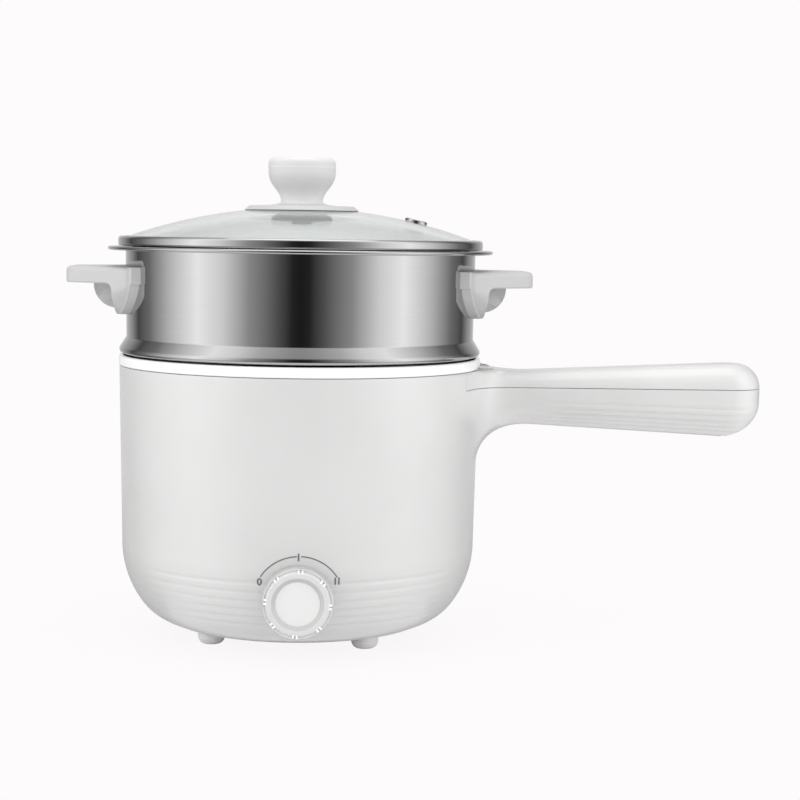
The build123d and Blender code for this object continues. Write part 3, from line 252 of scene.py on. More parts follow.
def merge(bm, distance):
    """Merge the vertices that lie within a distance of each other."""
    bmesh.ops.remove_doubles(bm, verts=bm.verts[:], dist=distance)


def turn(bm, steps=TURN_STEPS):
    """Turn every wire once round the Z axis into a closed skin that faces outwards."""
    bmesh.ops.spin(
        bm, geom=bm.verts[:] + bm.edges[:], cent=(0, 0, 0), axis=(0, 0, 1), angle=tau, steps=steps, use_merge=True)
    merge(bm, NEAR)
    bmesh.ops.recalc_face_normals(bm, faces=bm.faces[:])


def turned(points, steps=TURN_STEPS, closed=False, sheet=0.0):
    """Turn a wire through points once round the Z axis; a sheet gets its thickness in millimetres."""
    bm = bmesh.new()
    wire(bm, points, closed)
    turn(bm, steps)
    if sheet:
        bmesh.ops.solidify(bm, geom=bm.faces[:], thickness=sheet * MM)
    return bm


def place(bm, matrix):
    """Move a whole mesh to where it belongs."""
    bmesh.ops.transform(bm, matrix=matrix, verts=bm.verts[:])


def to_mesh(name, bm):
    """Hand a finished shape over to a mesh of its own."""
    mesh = bpy.data.meshes.new(name)
    bm.to_mesh(mesh)
    bm.free()
    return mesh


def join(whole, part):
    """Add one shape to another."""
    mesh = to_mesh("joined", part)
    whole.from_mesh(mesh)
    bpy.data.meshes.remove(mesh)


def add_piece(name, bm, look, body, nodes=(), sharp=35.0):
    """Make an object of a finished shape, let it ride on its body and stand for its solids."""
    mesh = to_mesh(name, bm)
    mesh.materials.append(bpy.data.materials[look])
    mesh.shade_smooth()
    mesh.set_sharp_from_angle(angle=radians(sharp))
    piece = bpy.data.objects.new(name, mesh)
    bpy.context.scene.collection.objects.link(piece)
    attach(piece, body)
    if nodes:
        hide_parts(*nodes)
    return piece


def paint_light_and_shade(piece, look, chosen):
    """Give a piece one more material on the faces whose centres, in millimetres, are chosen; every use paints light or
    shade with a lighter or darker copy of the piece's colour.
    """
    piece.data.materials.append(bpy.data.materials[look])
    for face in piece.data.polygons:
        if chosen(*(face.center / MM)):
            face.material_index = len(piece.data.materials) - 1


def faces_where(bm, chosen):
    """Faces whose middles are chosen."""
    return [face for face in bm.faces if chosen(face.calc_center_median())]


# Finishes


def new_group(name, inputs, outputs):
    """A shader node group with named float inputs and outputs."""
    group = bpy.data.node_groups.new(name, "ShaderNodeTree")
    for label, value in inputs:
        group.interface.new_socket(label, in_out="INPUT", socket_type="NodeSocketFloat").default_value = value
    for label in outputs:
        group.interface.new_socket(label, in_out="OUTPUT", socket_type="NodeSocketFloat")
    return group, group.nodes.new("NodeGroupInput"), group.nodes.new("NodeGroupOutput")


def feed(tree, socket, value):
    """Give an input socket a link or a plain value."""
    if isinstance(value, bpy.types.NodeSocket):
        tree.links.new(value, socket)
    else:
        socket.default_value = value


def preset(node, values):
    """Give a node's input sockets their plain values."""
    for label, value in values.items():
        node.inputs[label].default_value = value


def object_spot(tree):
    """The Object coordinates."""
    return tree.nodes.new("ShaderNodeTexCoord").outputs["Object"]


def parts(tree, spot):
    """The three numbers of a vector."""
    node = tree.nodes.new("ShaderNodeSeparateXYZ")
    tree.links.new(spot, node.inputs["Vector"])
    return list(node.outputs)


def vector(tree, *numbers):
    """A vector of up to three numbers."""
    node = tree.nodes.new("ShaderNodeCombineXYZ")
    for socket, value in zip(node.inputs, numbers):
        feed(tree, socket, value)
    return node.outputs["Vector"]


def length(tree, spot):
    """The length of a vector."""
    node = tree.nodes.new("ShaderNodeVectorMath")
    node.operation = "LENGTH"
    tree.links.new(spot, node.inputs[0])
    return node.outputs["Value"]


def reckon(tree, operation, *values):
    """The result of a Math node fed with sockets or plain numbers."""
    node = tree.nodes.new("ShaderNodeMath")
    node.operation = operation
    for socket, value in zip(node.inputs, values):
        feed(tree, socket, value)
    return node.outputs["Value"]


def noise(tree, spot, scale, detail):
    """The value of a Noise Texture."""
    node = tree.nodes.new("ShaderNodeTexNoise")
    node.inputs["Detail"].default_value = detail
    feed(tree, node.inputs["Vector"], spot)
    feed(tree, node.inputs["Scale"], scale)
    return node.outputs["Fac"]


def remap(tree, value, low, high, to_low=0.0, to_high=1.0):
    """A value led from one range to another."""
    node = tree.nodes.new("ShaderNodeMapRange")
    for label, given in zip(("Value", "From Min", "From Max", "To Min", "To Max"), (value, low, high, to_low, to_high)):
        feed(tree, node.inputs[label], given)
    return node.outputs["Result"]


def ramp(tree, value, stops):
    """A Color Ramp over a value, with its stops as (position, colour)."""
    node = tree.nodes.new("ShaderNodeValToRGB")
    while len(node.color_ramp.elements) < len(stops):
        node.color_ramp.elements.new(0.5)
    for element, (position, colour) in zip(node.color_ramp.elements, stops):
        element.position = position
        element.color = colour
    tree.links.new(value, node.inputs["Fac"])
    return node


def moulding_grain():
    """Fine spark-eroded grain of moulded plastic, with slow cloudy change over it."""
    group, given, put = new_group("moulding_grain", [("Scale", 2500.0), ("Cloud", 18.0)], ["Height", "Cloud"])
    spot = object_spot(group)
    feed(group, put.inputs["Height"], noise(group, spot, given.outputs["Scale"], 2.0))
    feed(group, put.inputs["Cloud"], noise(group, spot, given.outputs["Cloud"], 3.0))


def turned_lines():
    """Fine lines round the Z axis, as polishing and spinning leave on sheet metal, with faint smudges."""
    group, given, put = new_group("turned_lines", [("Scale", 900.0), ("Smudge", 14.0)], ["Lines", "Smudge"])
    spot = object_spot(group)
    x, y, z = parts(group, spot)
    around = reckon(group, "MULTIPLY", reckon(group, "ARCTAN2", y, x), 0.003)
    path = vector(group, length(group, vector(group, x, y)), around, z)
    feed(group, put.inputs["Lines"], noise(group, path, given.outputs["Scale"], 4.0))
    feed(group, put.inputs["Smudge"], noise(group, spot, given.outputs["Smudge"], 4.0))


def bare_material(name):
    """A new material and its node tree."""
    material = bpy.data.materials.new(name)
    material.use_nodes = True
    return material, material.node_tree


def start_material(name, effect_name, values):
    """The tree of a new material, its Principled shader and one placed effect group."""
    tree = bare_material(name)[1]
    effect = tree.nodes.new("ShaderNodeGroup")
    effect.node_tree = bpy.data.node_groups[effect_name]
    preset(effect, values)
    return tree, tree.nodes["Principled BSDF"], effect


def tone(tree, socket, colour, vary, target):
    """Lead a noise value through a ramp between two shades of a colour to a colour socket."""
    stops = [(0.35, shade(colour, 1 - vary)), (0.65, shade(colour, 1 + vary))]
    tree.links.new(ramp(tree, socket, stops).outputs["Color"], target)


def spread(tree, socket, low, high, target):
    """Lead a noise value through a range to a float socket."""
    tree.links.new(remap(tree, socket, 0.3, 0.7, low, high), target)


def bump(tree, socket, strength, distance, shader):
    """Lead a height through a Bump node to a shader's normal."""
    node = tree.nodes.new("ShaderNodeBump")
    preset(node, {"Strength": strength, "Distance": distance})
    tree.links.new(socket, node.inputs["Height"])
    tree.links.new(node.outputs["Normal"], shader.inputs["Normal"])


def shade(colour, factor):
    """A colour made darker or lighter, kept opaque."""
    return tuple(min(1.0, part * factor) for part in colour[:3]) + (1.0,)


def plastic(name, colour, rough, grain=0.15, scale=2500.0, vary=0.02, polish=0.0):
    """Moulded plastic or rubber: grain in the relief, slow change in tone and gloss, and a polished skin."""
    tree, shader, effect = start_material(name, "moulding_grain", {"Scale": scale})
    tone(tree, effect.outputs["Cloud"], colour, vary, shader.inputs["Base Color"])
    spread(tree, effect.outputs["Cloud"], rough * 0.92, rough * 1.08, shader.inputs["Roughness"])
    bump(tree, effect.outputs["Height"], grain, 0.0001, shader)
    preset(shader, {"Coat Weight": polish, "Coat Roughness": 0.2})


def metal(name, colour, rough, lines=0.05, scale=900.0, vary=0.025):
    """Bare metal with lines round its axis and faint smudges."""
    tree, shader, effect = start_material(name, "turned_lines", {"Scale": scale})
    preset(shader, {"Metallic": 1.0})
    tone(tree, effect.outputs["Lines"], colour, vary, shader.inputs["Base Color"])
    spread(tree, effect.outputs["Smudge"], rough * 0.8, rough * 1.25, shader.inputs["Roughness"])
    bump(tree, effect.outputs["Lines"], lines, 0.00002, shader)


def clear_glass(name, colour):
    """Clear toughened glass with the faintest film on it."""
    tree, shader, effect = start_material(name, "moulding_grain", {"Scale": 60.0, "Cloud": 20.0})
    tone(tree, effect.outputs["Cloud"], colour, 0.01, shader.inputs["Base Color"])
    spread(tree, effect.outputs["Cloud"], 0.0, 0.003, shader.inputs["Roughness"])
    preset(shader, {"Transmission Weight": 1.0, "IOR": 1.5})


CARRIED_FINISHES = {
    "hardware_plated": [
        "handle_screws", "heating_element", "shield_studs", "shield_nuts", "base_screws", "switch_nut",
        "switch_shaft", "ear_screws", "lid_screw"],
    "zinc_sheet": ["heat_shield", "thermostat_bracket"],
    "cast_alloy": ["heating_plate", "thermal_fuse"],
    "black_moulding": ["thermostat", "rotary_switch", "terminal_block"],
    "housing_satin": ["base_plate"],
    "lead_silicone": ["lead_wires"],
    "steel_polished": ["steamer_floor"],
}


class COOKER_OT_finishes(bpy.types.Operator):
    """Make the finishes and give them to the solids that stay in view"""

    bl_idname = "cooker.finishes"
    bl_label = "Finishes"

    def execute(self, context):
        shades = context.scene.cooker_colours
        moulding_grain()
        turned_lines()
        plastic("housing_satin", shades.housing, 0.4, polish=1.0)
        plastic("ring_gloss", shades.ring, 0.12, grain=0.03, scale=900.0, vary=0.01)
        plastic("grip_grey", shades.grips, 0.42, grain=0.2)
        plastic("lid_knob_pale", shades.lid_knob, 0.42, grain=0.2)
        # Painted shade: a darker copy of the lid knob's colour for its flange and the foot of its neck.
        plastic("lid_knob_flange", shade(shades.lid_knob, 0.77), 0.42, grain=0.2)
        # Painted highlight: a lighter copy of the lid knob's colour for the lower rim of its cap.
        plastic("lid_knob_seam", shade(shades.lid_knob, 1.2), 0.25, grain=0.05)
        plastic("knob_satin", shades.dial_knob, 0.3, grain=0.08)
        # Painted light: a lighter copy of the control knob's colour that lifts the shade in its channel and paints
        # highlights on its ribs.
        plastic("knob_channel", shade(shades.dial_knob, 1.45), 0.3, grain=0.08)
        # Painted shade: a darker copy of the control knob's colour for its lip, outer side and dish slope.
        plastic("knob_slope", shade(shades.dial_knob, 0.78), 0.3, grain=0.08)
        # Painted light: a lighter copy of the control knob's colour for its centre cap.
        plastic("knob_disc", shade(shades.dial_knob, 1.16), 0.3, grain=0.08)
        plastic("black_moulding", (0.03, 0.03, 0.032), 0.5, vary=0.1)
        plastic("foot_rubber", (0.88, 0.88, 0.87), 0.65, grain=0.3, scale=1500.0, vary=0.03)
        plastic("lead_silicone", (0.60, 0.60, 0.59), 0.55, grain=0.1, vary=0.03)
        plastic("dial_print", shades.marks, 0.6, grain=0.05, vary=0.08)
        metal("steel_polished", shades.steel, 0.055, lines=0.015, vary=0.008)
        metal("steel_pot", shade(shades.steel, 1.3), 0.2, lines=0.2)
        metal("zinc_sheet", (0.55, 0.55, 0.56), 0.38, lines=0.1, scale=300.0)
        metal("hardware_plated", (0.62, 0.62, 0.63), 0.25)
        metal("cast_alloy", (0.66, 0.67, 0.68), 0.42, lines=0.3, scale=500.0)
        clear_glass("glass_clear", shades.glass)
        for name, nodes in CARRIED_FINISHES.items():
            for node in nodes:
                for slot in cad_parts[node].material_slots:
                    slot.material = bpy.data.materials[name]
        return {"FINISHED"}


# Housing


def skin_radius(z):
    """Radius of the plain housing skin at a height, in millimetres."""
    if z > CORNER_TOP_Z:
        return CORNER_TOP_RADIUS + (z - CORNER_TOP_Z) * tan(radians(DRAFT))
    return HIGH_ARC[0] + sqrt(HIGH_ARC[2] ** 2 - (HIGH_ARC[1] - z) ** 2)


def ripple_depth(across, deep, z):
    """How far the ripples lie below the skin at a place seen from the pot's axis, in metres."""
    reach = hypot(across, deep)
    if deep > 0 or reach == 0:
        return 0.0
    fade = 1 - (1 + deep / reach) / (1 - cos(radians(RIPPLE_SPREAD)))
    slope = atan2(HIGH_ARC[1] - z, reach - HIGH_ARC[0])
    step = (slope - radians(RIPPLE_FIRST)) / radians(RIPPLE_PITCH)
    nearest = min(max(round(step), 0), RIPPLES - 1)
    off = abs(step - nearest) * RIPPLE_PITCH * pi / 180 * HIGH_ARC[2] / RIPPLE_HALF_WIDTH
    if fade <= 0 or off >= 1:
        return 0.0
    return sizes().ripple_depth * fade * (0.5 + 0.5 * cos(pi * off))


def turn_body(bm):
    """Turn the skin of the round body and press the ripples into its front."""
    edge_angle = atan2(BASE_EDGE_RADIUS - LOW_ARC[0], LOW_ARC[2])
    edge_z = LOW_ARC[1] - LOW_ARC[2] * cos(edge_angle)
    start = wire(bm, [(BASE_EDGE_RADIUS, LEDGE_Z), (BASE_EDGE_RADIUS, edge_z)])[-1]
    low_end = arc(bm, start, LOW_ARC, edge_angle - radians(CORNER_SPLIT), 12)
    fine_end = arc(bm, low_end, HIGH_ARC, radians(RIPPLE_FIRST - RIPPLE_MARGIN - 90 + CORNER_SPLIT), 78)
    high_end = arc(bm, fine_end, HIGH_ARC, radians(-DRAFT - RIPPLE_FIRST + RIPPLE_MARGIN), 6)
    foot = bm.verts.new((skin_radius(ROOT_FOOT_Z) * MM, 0.0, ROOT_FOOT_Z * MM))
    rim = bm.verts.new((BODY_TOP_RADIUS * MM, 0.0, BODY_TOP_Z * MM))
    divide(bm.edges.new((high_end, foot)), high_end, 12)
    divide(bm.edges.new((foot, rim)), foot, ROOT_ROWS)
    turn(bm, BODY_STEPS)
    for vert in bm.verts:
        across, deep, z = vert.co / MM
        depth = ripple_depth(across, deep, z) if z < CORNER_TOP_Z else 0.0
        if depth:
            reach = hypot(across, deep)
            flat = 1 - HIGH_ARC[0] / reach
            normal = Vector((across * flat, deep * flat, z - HIGH_ARC[1]))
            vert.co -= normal.normalized() * depth


def handle_ring(x, half_width, bottom, top, low_round, high_round):
    """Vertex places of a rounded handle section at X, from the bottom centre round by +Y."""
    section = bmesh.new()
    corners = [(half_width, bottom), (half_width, top), (-half_width, top), (-half_width, bottom)]
    verts = [section.verts.new((x * MM, y * MM, z * MM)) for y, z in corners]
    for index in range(4):
        section.edges.new((verts[index - 1], verts[index]))
    corner_rounds = [(low_round, 44), (high_round, 16), (high_round, 16), (low_round, 44)]
    for vert, (radius, segments) in zip(verts, corner_rounds):
        round_corner(section, vert, radius * MM, segments)
    for run in section.edges[:]:
        start, end = (vert.co for vert in run.verts)
        if abs(start.y - end.y) < NEAR:
            divide(run, run.verts[0], 10)
        elif abs(start.z - end.z) < NEAR:
            divide(run, run.verts[0], 4 if start.z < (bottom + top) / 2 * MM else 8)
    first = min(section.verts, key=lambda vert: (abs(vert.co.y) > NEAR, vert.co.z))
    order = [first, max((edge.other_vert(first) for edge in first.link_edges), key=lambda vert: vert.co.y)]
    while len(order) < len(section.verts):
        order.append(next(v for v in (e.other_vert(order[-1]) for e in order[-1].link_edges) if v is not order[-2]))
    places = [vert.co.copy() for vert in order]
    section.free()
    return places


def ring_edges(ring):
    """Edges of a closed ring of vertices."""
    return [next(edge for edge in a.link_edges if edge.other_vert(a) == b) for a, b in zip(ring, ring[1:] + ring[:1])]


def next_ring(bm, ring, places):
    """Extrude a closed ring, set the new one in place and return it in the same order."""
    made = bmesh.ops.extrude_edge_only(bm, edges=ring_edges(ring))["geom"]
    fresh = {item for item in made if isinstance(item, bmesh.types.BMVert)}
    grown = [next(e.other_vert(v) for e in v.link_edges if e.other_vert(v) in fresh) for v in ring]
    for vert, spot in zip(grown, places):
        vert.co = spot
    return grown


def open_root(bm):
    """Open the body where the handle grows out of it and return the closed ring round the opening."""
    limit = ROOT_HALF_ANGLE
    inside = faces_where(bm, lambda spot: spot.z > ROOT_FOOT_Z * MM and abs(atan2(spot.y, spot.x)) < limit)
    bmesh.ops.delete(bm, geom=inside, context="FACES")
    corner = Vector((BODY_TOP_RADIUS * MM * cos(limit), BODY_TOP_RADIUS * MM * sin(limit), BODY_TOP_Z * MM))
    start = min(bm.verts, key=lambda vert: (vert.co - corner).length)
    bmesh.ops.spin(bm, geom=[start], cent=(0, 0, 0), axis=(0, 0, 1), angle=-2 * limit, steps=2 * ROOT_COLUMNS)
    merge(bm, 1e-5)
    columns, rows = ROOT_COLUMNS, ROOT_ROWS
    path = [(column, 0) for column in range(columns)] + [(columns, row) for row in range(rows)]
    path += [(column, rows) for column in range(columns, -columns, -1)]
    path += [(-columns, row) for row in range(rows, 0, -1)] + [(column, 0) for column in range(-columns, 0)]
    bm.verts.ensure_lookup_table()
    finder = KDTree(len(bm.verts))
    for index, vert in enumerate(bm.verts):
        finder.insert(vert.co, index)
    finder.balance()
    ring = []
    for column, row in path:
        z = ROOT_FOOT_Z + (BODY_TOP_Z - ROOT_FOOT_Z) * row / rows
        around = tau / BODY_STEPS * column
        spot = Vector((skin_radius(z) * cos(around), skin_radius(z) * sin(around), z)) * MM
        ring.append(bm.verts[finder.find(spot)[1]])
    return ring


def grow_handle(bm):
    """Grow the handle from the body: a blended root, a straight loft and a turned end."""
    ring = open_root(bm)
    neck = handle_ring(NECK_X, **NECK)
    grip = handle_ring(GRIP_X, **GRIP)
    half = len(neck) // 2
    lower = list(range(0, GROOVED_PLACES, 2)) + list(range(GROOVED_PLACES, half + 1))
    coarse = lower + [len(neck) - index for index in reversed(lower[1:-1])]
    ends = [neck[index] for index in coarse]
    paths = []
    for vert, end in zip(ring, ends):
        start = vert.co.copy()
        around = atan2(start.y, start.x)
        radial = Vector((cos(around), sin(around), 0))
        run = end - start
        if start.z > BODY_TOP_Z * MM - 1e-6:
            share = (abs(around) / ROOT_HALF_ANGLE) ** 2
            along = Vector((1 - share, 0, 0)) + share * (run - radial * run.dot(radial)).normalized()
            along.z = 0
        else:
            along = run - radial * run.dot(radial)
        along.normalize()
        low = start + along * max(ROOT_PULL * run.dot(along), 0.002)
        high = end - Vector((NECK_PULL * run.x, 0, 0))
        paths.append(interpolate_bezier(start, low, high, end, ROOT_STEPS))
    for step in range(1, ROOT_STEPS):
        ring = next_ring(bm, ring, [path[step] for path in paths])
    fine = []
    for edge, vert, a, b in zip(ring_edges(ring), ring, coarse, coarse[1:] + [len(neck)]):
        fine.append(vert)
        if b - a == 2:
            fine.append(bmesh.utils.edge_split(edge, vert, 0.5)[1])
    for vert, spot in zip(fine, neck):
        vert.co = spot
    ring = fine
    for step in range(1, GRIP_STEPS + 1):
        share = step / GRIP_STEPS
        ring = next_ring(bm, ring, [a.lerp(b, share) for a, b in zip(neck, grip)])
    side = ring[:half + 1]
    side_edges = ring_edges(ring)[:half]
    bmesh.ops.spin(bm, geom=side + side_edges, cent=(GRIP_X * MM, 0, 0), axis=(0, 0, 1), angle=-pi, steps=END_STEPS)
    merge(bm, 2e-6)


def press_grooves(bm):
    """Press the long grooves into both sides of the handle's lower half."""
    for vert in bm.verts:
        x, y, z = vert.co / MM
        if x < NECK_X or z > PARTING_Z:
            continue
        share = min((x - NECK_X) / (GRIP_X - NECK_X), 1.0)
        low, bottom = (NECK[size] + share * (GRIP[size] - NECK[size]) for size in ("low_round", "bottom"))
        beside = Vector((max(x - GRIP_X, 0.0), y))
        reach = beside.length - GROOVE_INSET
        angle = atan2(bottom + low - z, reach)
        step = (angle - radians(GROOVE_FIRST)) / radians(GROOVE_PITCH)
        nearest = min(max(round(step), 0), GROOVES - 1)
        off = abs(step - nearest) * radians(GROOVE_PITCH) * low / GROOVE_HALF_WIDTH
        if off >= 1 or reach <= 0:
            continue
        fade = max(min((x - GROOVE_START_X) / GROOVE_RISE, (GROOVE_END_X - x) / GROOVE_FALL, 1.0), 0.0)
        depth = sizes().groove_depth * fade * fade * (3 - 2 * fade) * (0.5 + 0.5 * cos(pi * off))
        inward = Vector((beside.x, beside.y, 0)).normalized() * cos(angle) - Vector((0, 0, sin(angle)))
        vert.co -= inward * depth


def round_end(bm):
    """Press the lower end of the handle back to its long round."""
    for vert in bm.verts:
        along, below = vert.co.x / MM - END_CENTRE[0], vert.co.z / MM - END_CENTRE[1]
        reach = hypot(along, below)
        if along > 0 and below < 0 and reach > END_ROUND:
            vert.co.x = (END_CENTRE[0] + along * END_ROUND / reach) * MM
            vert.co.z = (END_CENTRE[1] + below * END_ROUND / reach) * MM


def split_cover(bm):
    """Cut the joint of the handle cover and return the cover's faces as a mesh of its own."""
    gap = sizes().parting_gap
    level = PARTING_Z * MM
    wide = COVER_HALF_WIDTH * MM
    start = COVER_START_X * MM
    root_wide = ROOT_HALF_WIDTH * MM

    def cut(point, normal, floor_z):
        faces = faces_where(bm, lambda spot: spot.x > start and abs(spot.y) < root_wide and spot.z > floor_z)
        geom = faces + list({e for f in faces for e in f.edges}) + list({v for f in faces for v in f.verts})
        bmesh.ops.bisect_plane(bm, geom=geom, dist=NEAR, plane_co=point, plane_no=normal)

    for z in (level, level + gap):
        cut((0, 0, z), (0, 0, 1), UNDER_PARTING_Z * MM)
    for y in (wide, wide - gap, gap - wide, -wide):
        cut((0, y, 0), (0, 1, 0), level)

    def within(spot, margin):
        return spot.x > start and spot.z > level + margin and abs(spot.y) < wide - margin

    cover = bm.copy()
    bmesh.ops.delete(cover, geom=faces_where(cover, lambda spot: not within(spot, gap)), context="FACES")
    bmesh.ops.delete(bm, geom=faces_where(bm, lambda spot: within(spot, 0.0)), context="FACES")
    cover.normal_update()
    return cover


def thicken(bm):
    """Give an open skin its wall on the inner side and ease the edges that this makes."""
    rims = {edge for edge in bm.edges if edge.is_boundary}
    bmesh.ops.solidify(bm, geom=bm.faces[:], thickness=HOUSING_WALL * MM)
    sharp = [edge for edge in rims if edge.is_valid and edge.calc_face_angle(0.0) > radians(50)]
    bmesh.ops.bevel(
        bm, geom=sharp, offset=sizes().edge_round, segments=2, affect="EDGES", clamp_overlap=True, **BEVEL)


class COOKER_OT_housing(bpy.types.Operator):
    """Shape the moulded housing with its blended handle, and the cover of the handle"""

    bl_idname = "cooker.housing"
    bl_label = "Housing and Handle"

    def execute(self, context):
        shell = bmesh.new()
        turn_body(shell)
        grow_handle(shell)
        press_grooves(shell)
        round_end(shell)
        bmesh.ops.recalc_face_normals(shell, faces=shell.faces[:])
        cover = split_cover(shell)
        for skin in (shell, cover):
            thicken(skin)
        boss = turned([(14.0, -16.0), (16.4, -16.0), (16.4, 0.0, 0.4), (3.4, 0.0)], 96)
        place(boss, KNOB_SEAT)
        join(shell, boss)
        add_piece("housing_shell", shell, "housing_satin", "base", ["outer_shell"])
        add_piece("handle_top", cover, "housing_satin", "base", ["handle_cover"])
        return {"FINISHED"}


class COOKER_OT_dial(bpy.types.Operator):
    """Print the dial's arc and figures on the housing above the control knob"""

    bl_idname = "cooker.dial"
    bl_label = "Dial Marks"

    def execute(self, context):
        print_mesh = bmesh.new()
        for start, end in DIAL_ARCS:
            line = bmesh.new()
            wire(line, [(0.0, reach) for reach in DIAL_RADII])
            place(line, Matrix.Rotation(radians(start), 4, "Y"))
            bmesh.ops.spin(
                line, geom=line.verts[:] + line.edges[:], cent=(0, 0, 0), axis=(0, 1, 0),
                angle=radians(end - start), steps=40)
            place(line, Matrix.Translation((DIAL_SHIFT * MM, 0, 0)))
            join(print_mesh, line)
        height = sizes().mark_height
        for figure, across, z in DIAL_FIGURES:
            text = bpy.data.curves.new("figure", "FONT")
            text.body = figure
            text.size = height * 1.4
            text.offset = 0.00016
            text.space_character = 1.2
            text.align_x = text.align_y = "CENTER"
            writer = bpy.data.objects.new("figure", text)
            mesh = bpy.data.meshes.new_from_object(writer)
            spot = (across * MM, 0, (z - KNOB_AXIS_Z) * MM)
            mesh.transform(Matrix.Translation(spot) @ Matrix.Rotation(pi / 2, 4, "X"))
            print_mesh.from_mesh(mesh)
            bpy.data.objects.remove(writer)
            bpy.data.curves.remove(text)
            bpy.data.meshes.remove(mesh)
        for level in range(*PRINT_LEVELS):
            bmesh.ops.bisect_plane(
                print_mesh, geom=print_mesh.verts[:] + print_mesh.edges[:] + print_mesh.faces[:], dist=NEAR,
                plane_co=(0, 0, PRINT_STEP * level * MM), plane_no=(0, 0, 1))
        for vert in print_mesh.verts:
            across, z = vert.co.x / MM, vert.co.z / MM + KNOB_AXIS_Z
            reach = skin_radius(z)
            depth = ripple_depth(across, -sqrt(reach**2 - across**2), z) / MM
            vert.co = Vector((across, -sqrt((reach - depth + PRINT_HEIGHT) ** 2 - across**2), z)) * MM
        merge(print_mesh, NEAR)
        for face in print_mesh.faces:
            face.normal_update()
            if face.normal.y > 0:
                face.normal_flip()
        add_piece("dial_marks", print_mesh, "dial_print", "base")
        return {"FINISHED"}


class COOKER_OT_rim_and_pot(bpy.types.Operator):
    """Turn the glossy rim ring and the drawn pot"""

    bl_idname = "cooker.rim_and_pot"
    bl_label = "Rim Ring and Pot"

    def execute(self, context):
        ring = turned([
            (89.5, 134.3), (91.9, 134.3), (91.9, 141.8), (95.0, 141.8, 0.8), (95.0, 147.1, 1.6), (89.5, 147.1, 0.5),
        ], closed=True)
        add_piece("rim_ring_gloss", ring, "ring_gloss", "base", ["rim_ring"])
        pot = turned([(92.8, 147.1), (88.2, 147.1, 0.8), (87.2, 56.5, 17.2), (0.0, 56.5)], sheet=POT_SHEET)
        add_piece("cooking_pot", pot, "steel_pot", "base", ["inner_pot"])
        return {"FINISHED"}


class COOKER_OT_feet_and_bush(bpy.types.Operator):
    """Turn the four feet and the bush of the mains lead"""

    bl_idname = "cooker.feet_and_bush"
    bl_label = "Feet and Bush"

    def execute(self, context):
        for name, angle in (("front_right", -52), ("rear_right", 38), ("rear_left", 128), ("front_left", 218)):
            foot = turned([
                (0.0, 0.0), (5.6, 0.0, 2.6), (7.0, 3.2, 1.2), (7.0, 6.8, 0.5), (2.6, 6.8), (2.6, 10.2, 0.4),
                (0.0, 10.2)], 48)
            reach = FOOT_CIRCLE * MM
            place(foot, Matrix.Translation((reach * cos(radians(angle)), reach * sin(radians(angle)), 0)))
            add_piece(f"foot_{name}_pad", foot, "foot_rubber", "base", [f"foot_{name}"])
        bush = turned([
            (3.6, 2.6, 0.5), (8.5, 2.6, 1.2), (8.5, 0.2, 0.2), (5.8, 0.2), (5.8, -6.2, 0.5), (3.6, -6.2, 0.5),
        ], 64, closed=True)
        place(bush, Matrix.Translation((0, GLAND_Y * MM, GLAND_Z * MM)) @ Matrix.Rotation(-pi / 2, 4, "X"))
        add_piece("lead_bush", bush, "foot_rubber", "base", ["cord_gland"])
        return {"FINISHED"}


class COOKER_OT_control_knob(bpy.types.Operator):
    """Turn the control knob with its ribs and its centre cap"""

    bl_idname = "cooker.control_knob"
    bl_label = "Control Knob"

    def execute(self, context):
        knob = turned([
            (15.8, 0.3), (17.6, 0.3, 0.3), (17.6, 7.0, 0.15), (17.2, 7.0), (16.0, 5.6, 0.15), (15.6, 8.4),
            (15.0, 9.0, 0.3), (12.9, 9.0, 0.3), (10.9, 7.7, 0.1), (10.9, 6.8), (0.0, 6.8)], 128)
        for index in range(KNOB_RIB_PAIRS):
            spin = Matrix.Rotation(radians(360 / KNOB_RIB_PAIRS * index + KNOB_RIB_START), 3, "Z")
            for side in (-1, 1):
                spot = Vector((15.65, 0.9 * side, 7.27)) * MM
                stretch = Matrix.LocRotScale(spot, None, KNOB_RIB_SIZE * MM)
                rib = bmesh.ops.create_cube(knob, size=1.0, matrix=stretch)["verts"]
                edges = list({edge for vert in rib for edge in vert.link_edges})
                rounded = bmesh.ops.bevel(knob, geom=edges, offset=0.2 * MM, segments=3, affect="EDGES", **BEVEL)
                whole = {vert for face in rounded["faces"] for vert in face.verts}
                # The ribs take the lighter channel material: painted highlight.
                for face in {face for vert in whole for face in vert.link_faces}:
                    face.material_index = 1
                bmesh.ops.rotate(knob, cent=(0, 0, 0), matrix=spin, verts=list(whole))
        place(knob, KNOB_SEAT)
        piece = add_piece("dial_knob", knob, "knob_satin", "knob", ["control_knob"])
        # Painted light on the channel's slope, which lifts its shade.
        paint_light_and_shade(piece, "knob_channel", self.in_channel)
        # Painted shade on the lip, the outer side and the dish slope.
        paint_light_and_shade(piece, "knob_slope", self.on_side_or_dish)
        cap = turned([(0.0, 7.0), (10.86, 7.0), (10.86, 7.7, 0.1), (0.0, 7.7)], 96)
        place(cap, KNOB_SEAT)
        # The cap gets the lighter copy of the knob's colour: painted light.
        add_piece("dial_knob_cap", cap, "knob_disc", "knob", ["control_knob_cap"])
        return {"FINISHED"}

    def in_channel(self, x, y, z):
        """Whether a place is on the slope of the knob's channel, which gets painted light."""
        reach, out = hypot(x, z - KNOB_AXIS_Z), KNOB_FRONT_Y - y
        return 15.95 < reach < 17.15 and abs(out - 5.6 - (reach - 16.0) * 7 / 6) < 0.2

    def on_side_or_dish(self, x, y, z):
        """Whether a place is on the knob's lip and outer side or on the slope of its dish, which get painted shade."""
        reach, out = hypot(x, z - KNOB_AXIS_Z), KNOB_FRONT_Y - y
        return reach > 17.15 or (11.0 < reach < 12.75 and out > 7.0)


